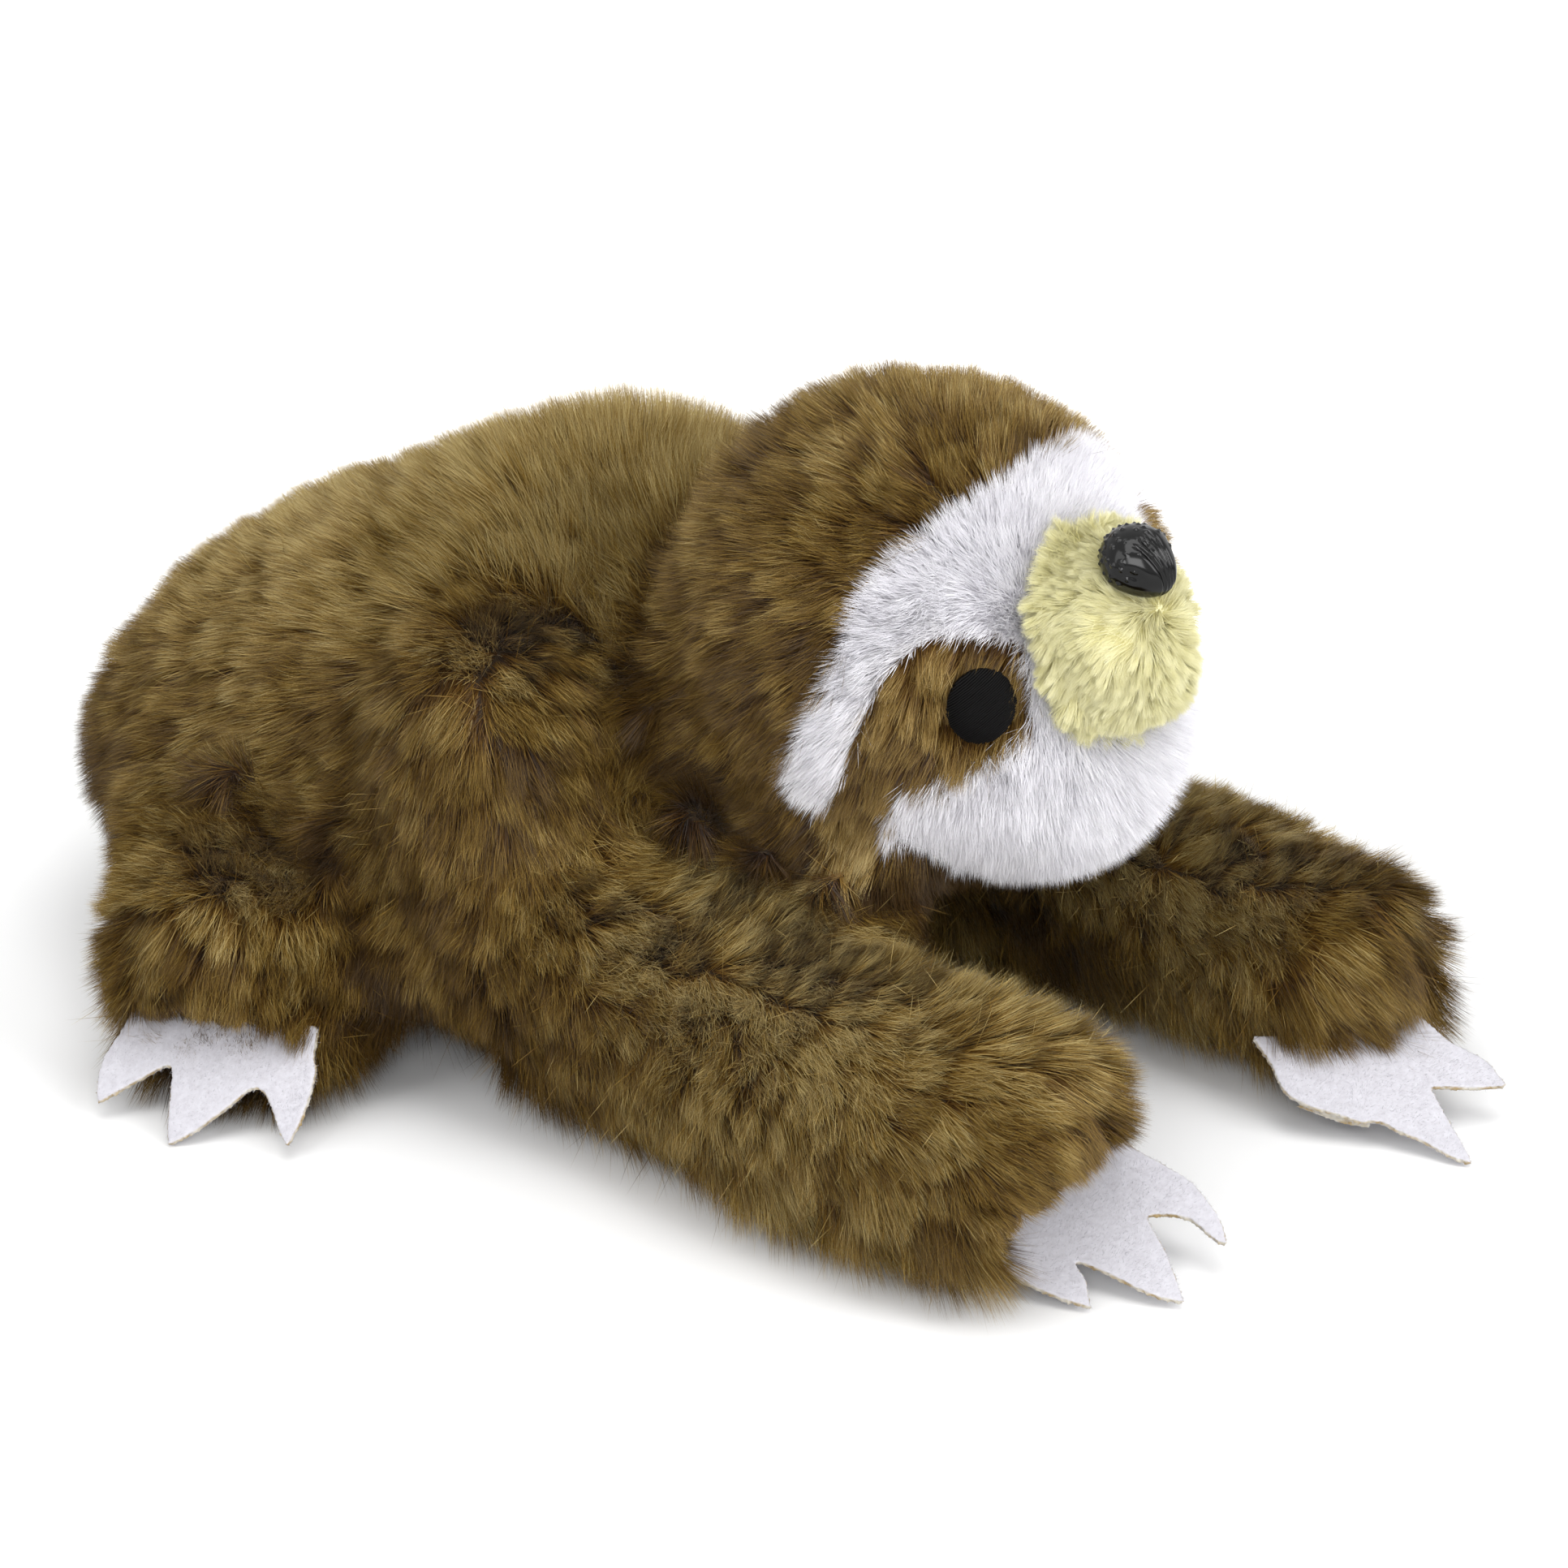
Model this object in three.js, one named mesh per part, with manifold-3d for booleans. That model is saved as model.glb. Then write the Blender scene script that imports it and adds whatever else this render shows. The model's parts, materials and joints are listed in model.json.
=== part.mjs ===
// A small plush sloth that lies on its belly, with its arms stretched out in front of it.
// Sizes are in millimetres and angles in degrees. +Z is up, the toy faces -Y and its own left is +X.
// The origin is the middle of the flat of its belly, on the floor.
import * as THREE from 'three';
import { mergeVertices } from 'three/addons/utils/BufferGeometryUtils.js';
import Module from 'manifold-3d';

// Cloth, and the clearances between neighbouring pieces.
const LONG_PLUSH = 9;
const SHORT_PLUSH = 5;
const PRESSED_PLUSH = 5;
const FELT_THICKNESS = 1.2;
const GAP = 0.3;
const SWING_GAP = 0.5;
const NAPE_GAP = 0.4;

// The torso, from its rump to the front, which the head's hollow cuts away.
const TORSO_REAR_Y = 90;
const TORSO_FRONT_Y = -98;
const TORSO_WIDTH = 132;
const TORSO_HEIGHT = 128;
const TORSO_SINK = 2.6;
const TORSO_ROUND_REAR = 56;
const TORSO_ROUND_FRONT = 44;
const BELLY_SEAM_Z = 30;
// Shares of the width and height at shares of the length.
const TORSO_OUTLINE = [
  { along: 0, wide: 0.84, under: 0, over: 0.55 },
  { along: 0.22, wide: 0.95, under: 0, over: 0.72 },
  { along: 0.48, wide: 1, under: 0, over: 0.9 },
  { along: 0.74, wide: 0.9, under: 0.04, over: 1 },
  { along: 1, wide: 0.66, under: 0.34, over: 0.99 },
];

// The head, turned to the toy's right, nodded up and tilted over to its right.
const HEAD_CENTRE = [-8, -118, 98];
const HEAD_TURN = 16.7;
const HEAD_NOD = 14.5;
const HEAD_TILT = 14.3;
const HEAD_RADIUS = 51.5;
// Soft bulges of the crown and the chin: how high, a direction in the head's own axes, and how wide.
const CROWN_RISE = 2.5;
const CROWN_TOWARD = [0, 0.12, 0.99];
const CROWN_SPREAD = 32;
const CHIN_RISE = 7;
const CHIN_TOWARD = [0, -0.5, -0.87];
const CHIN_SPREAD = 40;

// Outlines on the head, in degrees away from where it faces: its left or right, and up.
const MASK_OUTLINE = [
  [0, 42], [18, 43], [42, 39], [60, 26], [72, 11], [87, -13], [78, -28], [60, -33], [45, -49], [23, -69],
  [0, -69],
];
const PATCH_OUTLINE = [
  [20, 7], [29, 12.5], [39, 14], [50, 9.5], [58, 0], [68, -20], [74, -47], [64, -50], [57, -24], [47, -21],
  [34, -18], [22, -12], [19, -1],
];
const PATCH_HUB = [60, -14];
const EYE_PLACE = [33.7, -2.6];
const EYE_DIAMETER = 13;
const EYE_THICKNESS = 2;
const EYE_DEPTH = 3;

// The muzzle and the nose, whose shank goes through the muzzle's cover into a washer.
const MUZZLE_SINK = 1.5;
const MUZZLE_WIDTH = 35;
const MUZZLE_LENGTH = 39;
const MUZZLE_HEIGHT = 42;
const NOSE_RAISE = 44;
const NOSE_WIDTH = 14.5;
const NOSE_HEIGHT = 14;
const NOSE_THICKNESS = 12;
const SHANK_RADIUS = 2.4;
const SHANK_LENGTH = 11;
const WASHER_RADIUS = 6.5;
const WASHER_THICKNESS = 1.6;
const WASHER_SEAT = 6.4;

// The arms. Each turns about a ball at its shoulder, and the toy's pose sets the rest of its route.
const SHOULDER = [52, -44, 78];
const SHOULDER_RADIUS = 28;
const ARM_ROUND = 12;
const ARM_SEAM_Z = 26;
const ARMS = {
  right: {
    radius: 30,
    endRadius: 27,
    route: [
      [-53, -45, 56], [-53, -58, 38], [-55, -84, 29], [-63, -118, 28.6], [-71, -152, 28.8], [-72, -195, 27.6],
    ],
  },
  left: {
    radius: 27.5,
    endRadius: 25,
    route: [
      [55, -46, 56], [57, -62, 36], [57, -88, 27], [53, -120, 26.5], [46, -160, 26.5], [33, -206, 25],
    ],
  },
};

// The legs, each with a ball at its hip.
const HIP = [46, 24, 34];
const HIP_RADIUS = 30;
const LEG_RADIUS = 29;
const FOOT_RADIUS = 25;
const LEG_ROUND = 16;
const LEG_LIFT = 25;
const LEG_SEAM_Z = 24;
const LEG_ROUTE = [[-62, 11, 31], [-84, 0, 27.6], [-106, -8, 23.6]];

// Felt claws: three prongs cut in one piece of felt, its root sewn into the end of the limb.
// Each piece has the middle of its root line, the way it points and the way to its inner side.
const CLAW_WIDTH = 32;
const CLAW_LENGTH = 31;
const CLAW_ROOT = 8;
const CLAW_SPREAD = 1.2;
// The edge round the prongs, from the inner side to the outer: shares of the half width and the length,
// each with the point that its edge bends towards and the point that it reaches.
const CLAW_EDGE = [
  { bend: [1.06, 0.52], reach: [0.97, 0.76] },
  { bend: [0.63, 0.58], reach: [0.51, 0.32] },
  { bend: [0.41, 0.27], reach: [0.29, 0.34] },
  { bend: [0.19, 0.61], reach: [-0.13, 1] },
  { bend: [-0.31, 0.65], reach: [-0.33, 0.35] },
  { bend: [-0.43, 0.28], reach: [-0.55, 0.34] },
  { bend: [-0.65, 0.55], reach: [-0.97, 0.68] },
  { bend: [-1.04, 0.45], reach: [-1, 0.23] },
];
const HAND_CLAW_SCALE = [1, 1];
const FOOT_CLAW_SCALE = [1.25, 0.82];
const CLAW_PLACES = {
  hand_claws_right: {
    root: [-58, -179.5, 12.8], toward: [-0.24, -0.9, -0.35], across: [0.874, -0.343, 0.27],
  },
  hand_claws_left: {
    root: [24.3, -201, 12], toward: [-0.27, -0.9, -0.34], across: [0.93, -0.25, 0.25],
  },
  foot_claws_right: {
    root: [-93, -5, 17], toward: [-0.75, -0.15, -0.62], across: [0.13, -0.99, 0],
  },
};

const COLOURS = {
  brown: 0x6b5a38,
  patch: 0x7a6540,
  white: 0xe8e6ec,
  cream: 0xe6e7a0,
  black: 0x17161a,
  stuffing: 0xf3f1ea,
  felt: 0xe3e2e6,
  nylon: 0xd9d9d2,
};

const wasm = await Module();
wasm.setup();

const vector = (point) => new THREE.Vector3(...point);
const mirrored = ([x, y, z]) => [-x, y, z];
const clamp = THREE.MathUtils.clamp;
const radians = THREE.MathUtils.degToRad;

// Between a closed three.js geometry and a solid that can be cut and joined.
function toSolid(geometry) {
  const bare = geometry.clone();
  bare.deleteAttribute('normal');
  bare.deleteAttribute('uv');
  const { attributes, index } = mergeVertices(bare, 1e-4);
  return new wasm.Manifold(new wasm.Mesh({
    numProp: 3,
    vertProperties: new Float32Array(attributes.position.array),
    triVerts: new Uint32Array(index.array),
  }));
}

function toGeometry(solid) {
  const { vertProperties, triVerts } = solid.getMesh();
  const geometry = new THREE.BufferGeometry();
  geometry.setAttribute('position', new THREE.BufferAttribute(new Float32Array(vertProperties), 3));
  geometry.setIndex(new THREE.BufferAttribute(new Uint32Array(triVerts), 1));
  geometry.computeVertexNormals();
  return geometry;
}

// A closed skin over rings of points, with a pole at each end.
function skinOver(firstPole, rings, lastPole) {
  const sides = rings[0].length;
  const points = [firstPole, ...rings.flat(), lastPole];
  const at = (ring, side) => 1 + ring * sides + (side % sides);
  const faces = [];
  for (let side = 0; side < sides; side++) {
    faces.push(0, at(0, side), at(0, side + 1));
    for (let ring = 0; ring + 1 < rings.length; ring++) {
      faces.push(at(ring, side), at(ring + 1, side), at(ring + 1, side + 1));
      faces.push(at(ring, side), at(ring + 1, side + 1), at(ring, side + 1));
    }
    faces.push(points.length - 1, at(rings.length - 1, side + 1), at(rings.length - 1, side));
  }
  const geometry = new THREE.BufferGeometry();
  geometry.setFromPoints(points);
  geometry.setIndex(faces);
  return toSolid(geometry);
}

// A stuffed form: elliptic sections along a route, rounded at both ends, grown or shrunk by an offset.
// Each station holds a place on the route, from 0 to 1, and the half sizes sideways and upright there.
function stuffedForm({ route, stations, roundStart, roundEnd, sides, steps }, offset = 0) {
  const curve = new THREE.CatmullRomCurve3(route.map(vector), false, 'centripetal');
  const length = curve.getLength();
  const sizes = new THREE.CubicInterpolant(
    stations.map(({ along }) => along), stations.flatMap(({ side, upright }) => [side, upright]), 2);
  const rounding = (distance, reach) => {
    const share = clamp((distance + offset) / (reach + offset), 0, 1);
    return Math.sqrt(1 - (1 - share) ** 2);
  };
  const section = (distance) => {
    const along = clamp(distance / length, 0, 1);
    const tangent = curve.getTangentAt(along);
    const centre = curve.getPointAt(along).addScaledVector(tangent, distance - along * length);
    return { along, tangent, centre };
  };
  const rings = [];
  for (let step = 1; step < steps; step++) {
    const share = (1 - Math.cos(Math.PI * step / steps)) / 2;
    const distance = share * (length + 2 * offset) - offset;
    const { along, tangent, centre } = section(distance);
    const sideways = new THREE.Vector3(1, 0, 0).addScaledVector(tangent, -tangent.x).normalize();
    const upright = new THREE.Vector3().crossVectors(sideways, tangent);
    const round = rounding(distance, roundStart) * rounding(length - distance, roundEnd);
    const [halfSide, halfUpright] = sizes.evaluate(along);
    rings.push(Array.from({ length: sides }, (_, k) => {
      const angle = 2 * Math.PI * k / sides;
      return centre.clone()
        .addScaledVector(sideways, (halfSide + offset) * round * Math.cos(angle))
        .addScaledVector(upright, (halfUpright + offset) * round * Math.sin(angle));
    }));
  }
  return skinOver(section(-offset).centre, rings, section(length + offset).centre);
}

const BALL_SIDES = 16;
const FILL_SIDES = 10;
const ball = (centre, radius, sides) => toSolid(
  new THREE.SphereGeometry(radius, sides, sides / 2).translate(...centre));

// Everything below, or above, a height.
const FAR = 400;
const below = (z) => toSolid(new THREE.BoxGeometry(2 * FAR, 2 * FAR, FAR).translate(0, 0, z - FAR / 2));
const above = (z) => toSolid(new THREE.BoxGeometry(2 * FAR, 2 * FAR, FAR).translate(0, 0, z + FAR / 2));
const sideOf = (sign) => toSolid(
  new THREE.BoxGeometry(FAR, 2 * FAR, 2 * FAR).translate(sign * (FAR + GAP) / 2, 0, 0));

const toy = new THREE.Group();

function addMesh(parent, name, shape, colour, roughness) {
  const geometry = shape instanceof THREE.BufferGeometry ? shape : toGeometry(shape);
  const material = new THREE.MeshStandardMaterial({ color: colour, roughness, metalness: 0 });
  const mesh = new THREE.Mesh(geometry, material);
  mesh.name = name;
  parent.add(mesh);
  return mesh;
}

const addPlush = (parent, name, shape, colour = COLOURS.brown) => addMesh(parent, name, shape, colour, 0.9);
const addFill = (parent, name, shape) => addMesh(parent, name, shape, COLOURS.stuffing, 0.95);

// The torso's form, whose underside lies a little below the floor, where its weight presses it flat.
function torsoForm() {
  const outline = TORSO_OUTLINE.map(({ along, wide, under, over }) => ({
    along,
    side: wide * TORSO_WIDTH / 2,
    upright: (over - under) * TORSO_HEIGHT / 2,
    y: THREE.MathUtils.lerp(TORSO_REAR_Y, TORSO_FRONT_Y, along),
    z: (over + under) * TORSO_HEIGHT / 2 - TORSO_SINK,
  }));
  return {
    route: outline.map(({ y, z }) => [0, y, z]),
    stations: outline,
    roundStart: TORSO_ROUND_REAR,
    roundEnd: TORSO_ROUND_FRONT,
    sides: 20,
    steps: 12,
  };
}

const torso = torsoForm();
const FILL_DETAIL = 0.7;
const coarse = (form) => ({
  ...form, sides: Math.round(form.sides * FILL_DETAIL), steps: Math.round(form.steps * FILL_DETAIL) });
const torsoFill = coarse(torso);

// What the head and the limbs' balls need cut away from the torso, and how much more.
function pocketsInTorso(more, sides) {
  const facetAllowance = 1 / Math.cos(Math.PI / sides);
  const balls = [
    [SHOULDER, SHOULDER_RADIUS], [mirrored(SHOULDER), SHOULDER_RADIUS],
    [HIP, HIP_RADIUS], [mirrored(HIP), HIP_RADIUS], [HEAD_CENTRE, HEAD_RADIUS + NAPE_GAP],
  ];
  return balls.map(([place, radius]) => ball(place, (radius + more) * facetAllowance, sides))
    .reduce((all, pocket) => all.add(pocket));
}

function buildTorso() {
  const outside = stuffedForm(torso).subtract(below(0)).subtract(pocketsInTorso(SWING_GAP, BALL_SIDES));
  const inside = stuffedForm(torsoFill, GAP - LONG_PLUSH).subtract(below(LONG_PLUSH - GAP));
  const shell = outside.subtract(inside);
  const panel = shell.intersect(above(BELLY_SEAM_Z + GAP / 2));
  addPlush(toy, 'back_panel_left', panel.intersect(sideOf(1)));
  addPlush(toy, 'back_panel_right', panel.intersect(sideOf(-1)));
  addPlush(toy, 'belly_panel', shell.intersect(below(BELLY_SEAM_Z - GAP / 2)));
  const stuffing = stuffedForm(torsoFill, -LONG_PLUSH).subtract(below(LONG_PLUSH));
  addFill(toy, 'torso_stuffing', stuffing.subtract(pocketsInTorso(PRESSED_PLUSH, FILL_SIDES)));
}

// The head's skin, its poles where it faces and at the back of its neck.
function headForm(offset = 0, sides = 20, steps = 12) {
  const bulges = [
    { toward: vector(CROWN_TOWARD).normalize(), rise: CROWN_RISE, spread: CROWN_SPREAD },
    { toward: vector(CHIN_TOWARD).normalize(), rise: CHIN_RISE, spread: CHIN_SPREAD },
  ];
  const skinPoint = (awayDegrees, roundDegrees) => {
    const away = radians(awayDegrees);
    const round = radians(roundDegrees);
    const point = new THREE.Vector3(
      Math.sin(away) * Math.cos(round), -Math.cos(away), Math.sin(away) * Math.sin(round));
    const rise = bulges.reduce((sum, { toward, rise: height, spread }) => {
      const share = Math.min(1, THREE.MathUtils.radToDeg(point.angleTo(toward)) / spread);
      return sum + height * (1 - share ** 2) ** 2;
    }, 0);
    return point.multiplyScalar(HEAD_RADIUS + rise + offset);
  };
  const rings = [];
  for (let step = 1; step < steps; step++) {
    rings.push(Array.from({ length: sides }, (_, k) => skinPoint(180 * step / steps, 360 * k / sides)));
  }
  return skinOver(skinPoint(0, 0), rings, skinPoint(180, 0));
}

// A direction in the head's axes, from degrees to its left and up, as far out as the reach.
function fromHead([left, up], reach) {
  const away = radians(Math.hypot(left, up));
  const round = Math.atan2(up, left);
  const direction = new THREE.Vector3(
    Math.sin(away) * Math.cos(round), -Math.cos(away), Math.sin(away) * Math.sin(round));
  return direction.multiplyScalar(reach);
}

// A wedge from the head's centre out through a closed outline on its skin, widened by an offset.
const wedgeReach = 2 * HEAD_RADIUS;
function wedge(outline, hub, count, offset) {
  const curve = new THREE.CatmullRomCurve3(
    outline.map(([left, up]) => new THREE.Vector3(left, up, 0)), true, 'centripetal');
  const widening = THREE.MathUtils.radToDeg(offset / HEAD_RADIUS);
  const ring = Array.from({ length: count }, (_, k) => {
    const point = curve.getPointAt(k / count);
    const tangent = curve.getTangentAt(k / count);
    return fromHead([point.x + tangent.y * widening, point.y - tangent.x * widening], wedgeReach);
  });
  return skinOver(new THREE.Vector3(), [ring.reverse()], fromHead(hub, wedgeReach));
}

const mirrorOutline = (outline) => outline.map(([left, up]) => [-left, up]).reverse();
const maskHalf = MASK_OUTLINE.slice(1, -1);
const maskOutline = [...MASK_OUTLINE, ...mirrorOutline(maskHalf)].reverse();
const leftPatch = [...PATCH_OUTLINE].reverse();
const patchOutlines = { left: leftPatch, right: mirrorOutline(leftPatch) };

// Turns a piece made along +Z to point away from the head's centre at a place on its skin.
function outFromHead(geometry, place, distance) {
  const direction = fromHead(place, 1);
  const turn = new THREE.Quaternion().setFromUnitVectors(new THREE.Vector3(0, 0, 1), direction);
  return geometry.applyQuaternion(turn).translate(...direction.multiplyScalar(distance));
}

function buildHead(head) {
  const shell = headForm().subtract(headForm(GAP - LONG_PLUSH, 14, 9));
  const maskWedge = (offset) => wedge(maskOutline, [0, 0], 32, offset);
  const hubs = { left: PATCH_HUB, right: [-PATCH_HUB[0], PATCH_HUB[1]] };
  const patchWedge = (side, offset) => wedge(patchOutlines[side], hubs[side], 18, offset);
  const patches = patchWedge('left', GAP / 2).add(patchWedge('right', GAP / 2));
  addPlush(head, 'head_back', shell.subtract(maskWedge(GAP / 2)).subtract(patches));
  addPlush(head, 'face_mask', shell.intersect(maskWedge(-GAP / 2)).subtract(patches), COLOURS.white);
  addFill(head, 'head_stuffing', headForm(-LONG_PLUSH, 14, 9));
  const eyeBack = HEAD_RADIUS - EYE_DEPTH - EYE_THICKNESS;
  for (const [side, sign] of [['left', 1], ['right', -1]]) {
    const place = [sign * EYE_PLACE[0], EYE_PLACE[1]];
    const hollow = new THREE.CylinderGeometry(
      EYE_DIAMETER / 2 + GAP, EYE_DIAMETER / 2 + GAP, LONG_PLUSH, 14).rotateX(Math.PI / 2);
    const pocket = toSolid(outFromHead(hollow, place, eyeBack - GAP + LONG_PLUSH / 2));
    const patch = shell.intersect(patchWedge(side, -GAP / 2)).subtract(pocket);
    addPlush(head, `eye_patch_${side}`, patch, COLOURS.patch);
    const disc = new THREE.SphereGeometry(1, 14, 5).rotateX(Math.PI / 2)
      .scale(EYE_DIAMETER / 2, EYE_DIAMETER / 2, EYE_THICKNESS / 2);
    const eye = toSolid(outFromHead(disc, place, eyeBack + EYE_THICKNESS / 2));
    addMesh(head, `eye_${side}`, eye, COLOURS.black, 0.7);
  }
}

// The muzzle's ball, whose middle lies just under the head's skin, shrunk by an inset.
const muzzleOut = HEAD_RADIUS - MUZZLE_SINK;
function muzzleBall(inset, sides) {
  const halves = [MUZZLE_WIDTH, MUZZLE_LENGTH, MUZZLE_HEIGHT].map((size) => size / 2 - inset);
  const round = new THREE.SphereGeometry(1, sides, sides / 2).rotateX(Math.PI / 2);
  return toSolid(round.scale(...halves).translate(0, -muzzleOut, 0));
}

// A round bar on the nose's line, between two distances from the muzzle's middle.
const noseLine = new THREE.Vector3(0, -Math.cos(radians(NOSE_RAISE)), Math.sin(radians(NOSE_RAISE)));
function onNoseLine(geometry, distance) {
  const turn = new THREE.Quaternion().setFromUnitVectors(new THREE.Vector3(0, 0, 1), noseLine);
  return geometry.applyQuaternion(turn)
    .translate(...noseLine.clone().multiplyScalar(distance)).translate(0, -muzzleOut, 0);
}
const noseBar = (radius, from, to) => toSolid(onNoseLine(
  new THREE.CylinderGeometry(radius, radius, to - from, 12).rotateX(Math.PI / 2), (from + to) / 2));

function buildMuzzle(head) {
  const noseOut = MUZZLE_LENGTH / 2;
  const washerBottom = noseOut - SHORT_PLUSH - WASHER_SEAT;
  const shankEnd = noseOut - SHANK_LENGTH;
  const forehead = headForm(GAP);
  const hole = noseBar(SHANK_RADIUS + GAP, shankEnd - GAP, noseOut + NOSE_THICKNESS);
  const seat = noseBar(WASHER_RADIUS + GAP, washerBottom - GAP, noseOut);
  const cover = muzzleBall(0, 16).subtract(muzzleBall(SHORT_PLUSH, 12)).subtract(forehead).subtract(hole);
  addPlush(head, 'muzzle_cover', cover, COLOURS.cream);
  const fill = muzzleBall(SHORT_PLUSH + GAP, 12).subtract(forehead).subtract(hole).subtract(seat);
  addFill(head, 'muzzle_stuffing', fill);
  const dome = toSolid(onNoseLine(new THREE.SphereGeometry(1, 16, 8).rotateX(Math.PI / 2)
    .scale(NOSE_WIDTH / 2, NOSE_HEIGHT / 2, NOSE_THICKNESS / 2), noseOut));
  const shank = noseBar(SHANK_RADIUS, shankEnd, noseOut + NOSE_THICKNESS / 3);
  const nose = dome.subtract(muzzleBall(-GAP, 16)).add(shank);
  addMesh(head, 'nose', nose, COLOURS.black, 0.2);
  const washer = noseBar(WASHER_RADIUS, washerBottom, washerBottom + WASHER_THICKNESS)
    .subtract(noseBar(SHANK_RADIUS + GAP, 0, noseOut));
  addMesh(head, 'nose_washer', washer, COLOURS.nylon, 0.5);
}

// A limb's form: a route from the top of its ball, through the ball's middle, to the middle of its end.
function limbForm({ joint, jointRadius, route, radius, endRadius, round, sides, steps }) {
  const first = vector(route[0]).sub(vector(joint)).normalize();
  const top = vector(joint).addScaledVector(first, -jointRadius).toArray();
  const points = [top, joint, ...route];
  const radii = [jointRadius, jointRadius, ...route.map(() => radius)];
  radii[radii.length - 1] = endRadius;
  const reach = [0];
  for (let k = 1; k < points.length; k++) {
    reach.push(reach[k - 1] + vector(points[k]).distanceTo(vector(points[k - 1])));
  }
  const stations = radii.map((size, k) => ({ along: reach[k] / reach.at(-1), side: size, upright: size }));
  return { route: points, stations, roundStart: jointRadius, roundEnd: round, sides, steps };
}

// The torso as a limb meets it at rest and while the limb lifts, seen from the limb.
function torsoPast(form, joint, axis, lifts) {
  const middle = vector(joint);
  const passes = lifts.map((degrees) => {
    const turn = new THREE.Matrix4().makeRotationAxis(axis, radians(-degrees));
    const move = new THREE.Matrix4().makeTranslation(middle)
      .multiply(turn).multiply(new THREE.Matrix4().makeTranslation(middle.clone().negate()));
    return form.transform(move.elements);
  });
  return passes.reduce((all, pass) => all.add(pass));
}

function buildLimb(name, form, { joint, jointRadius, axis, lifts, seam }, claws) {
  const makeBody = (limb, trunk, pressed, sides, floor) => limb
    .subtract(torsoPast(trunk, joint, axis, lifts))
    .add(ball(joint, jointRadius - pressed, sides))
    .subtract(below(floor));
  const makeInside = (free, pressed) => makeBody(
    stuffedForm(coarse(form), -free), stuffedForm(torsoFill, GAP + pressed), pressed, FILL_SIDES, free);
  const slot = clawSlot(claws);
  const hollow = makeInside(LONG_PLUSH - GAP, PRESSED_PLUSH - GAP);
  const shell = makeBody(stuffedForm(form), stuffedForm(torso, GAP), 0, BALL_SIDES, 0)
    .subtract(hollow).subtract(slot);
  addPlush(toy, `${name}_upper`, shell.intersect(above(seam + GAP / 2)));
  addPlush(toy, `${name}_lower`, shell.intersect(below(seam - GAP / 2)));
  addFill(toy, `${name}_stuffing`, makeInside(LONG_PLUSH, PRESSED_PLUSH).subtract(slot));
}

// A felt claw piece in its own plane: x across, y along the prongs, and the root behind y = 0.
function clawShape() {
  const half = CLAW_WIDTH / 2;
  const shape = new THREE.Shape();
  shape.moveTo(-half, -CLAW_ROOT);
  shape.lineTo(half, -CLAW_ROOT);
  shape.lineTo(half, CLAW_EDGE.at(-1).reach[1] * CLAW_LENGTH);
  for (const { bend, reach } of CLAW_EDGE) {
    shape.quadraticCurveTo(bend[0] * half, bend[1] * CLAW_LENGTH, reach[0] * half, reach[1] * CLAW_LENGTH);
  }
  shape.closePath();
  return shape;
}

function placeClaws(geometry, { root, toward, across, scale }) {
  const forward = vector(toward).normalize();
  const sideways = vector(across).addScaledVector(forward, -vector(across).dot(forward)).normalize();
  const normal = new THREE.Vector3().crossVectors(sideways, forward);
  geometry.scale(...scale, 1);
  const place = new THREE.Matrix4().makeBasis(sideways, forward, normal).setPosition(...root);
  return toSolid(geometry.applyMatrix4(place));
}

// The slit that a felt piece is sewn into, a little wider than the piece.
function clawSlot(place) {
  const length = CLAW_ROOT + CLAW_LENGTH + GAP;
  const slit = new THREE.BoxGeometry(CLAW_WIDTH + 2 * CLAW_SPREAD, length, FELT_THICKNESS + 2 * GAP);
  return placeClaws(slit.translate(0, length / 2 - CLAW_ROOT - GAP, 0), place);
}

function feltClaws(place) {
  const geometry = new THREE.ExtrudeGeometry(
    clawShape(), { depth: FELT_THICKNESS, bevelEnabled: false, curveSegments: 3 });
  return placeClaws(geometry.translate(0, 0, -FELT_THICKNESS / 2), place);
}

const ACROSS = new THREE.Vector3(1, 0, 0);

buildTorso();

const head = new THREE.Group();
head.position.set(...HEAD_CENTRE);
head.rotation.set(-radians(HEAD_NOD), -radians(HEAD_TILT), -radians(HEAD_TURN), 'ZXY');
toy.add(head);
buildHead(head);
buildMuzzle(head);

const mirrorPlace = ({ root, toward, across }) => ({
  root: mirrored(root), toward: mirrored(toward), across: mirrored(across) });
const clawPlaces = { ...CLAW_PLACES, foot_claws_left: mirrorPlace(CLAW_PLACES.foot_claws_right) };
for (const [name, place] of Object.entries(clawPlaces)) {
  place.scale = name.startsWith('foot') ? FOOT_CLAW_SCALE : HAND_CLAW_SCALE;
  addMesh(toy, name, feltClaws(place), COLOURS.felt, 0.95);
}

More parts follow.
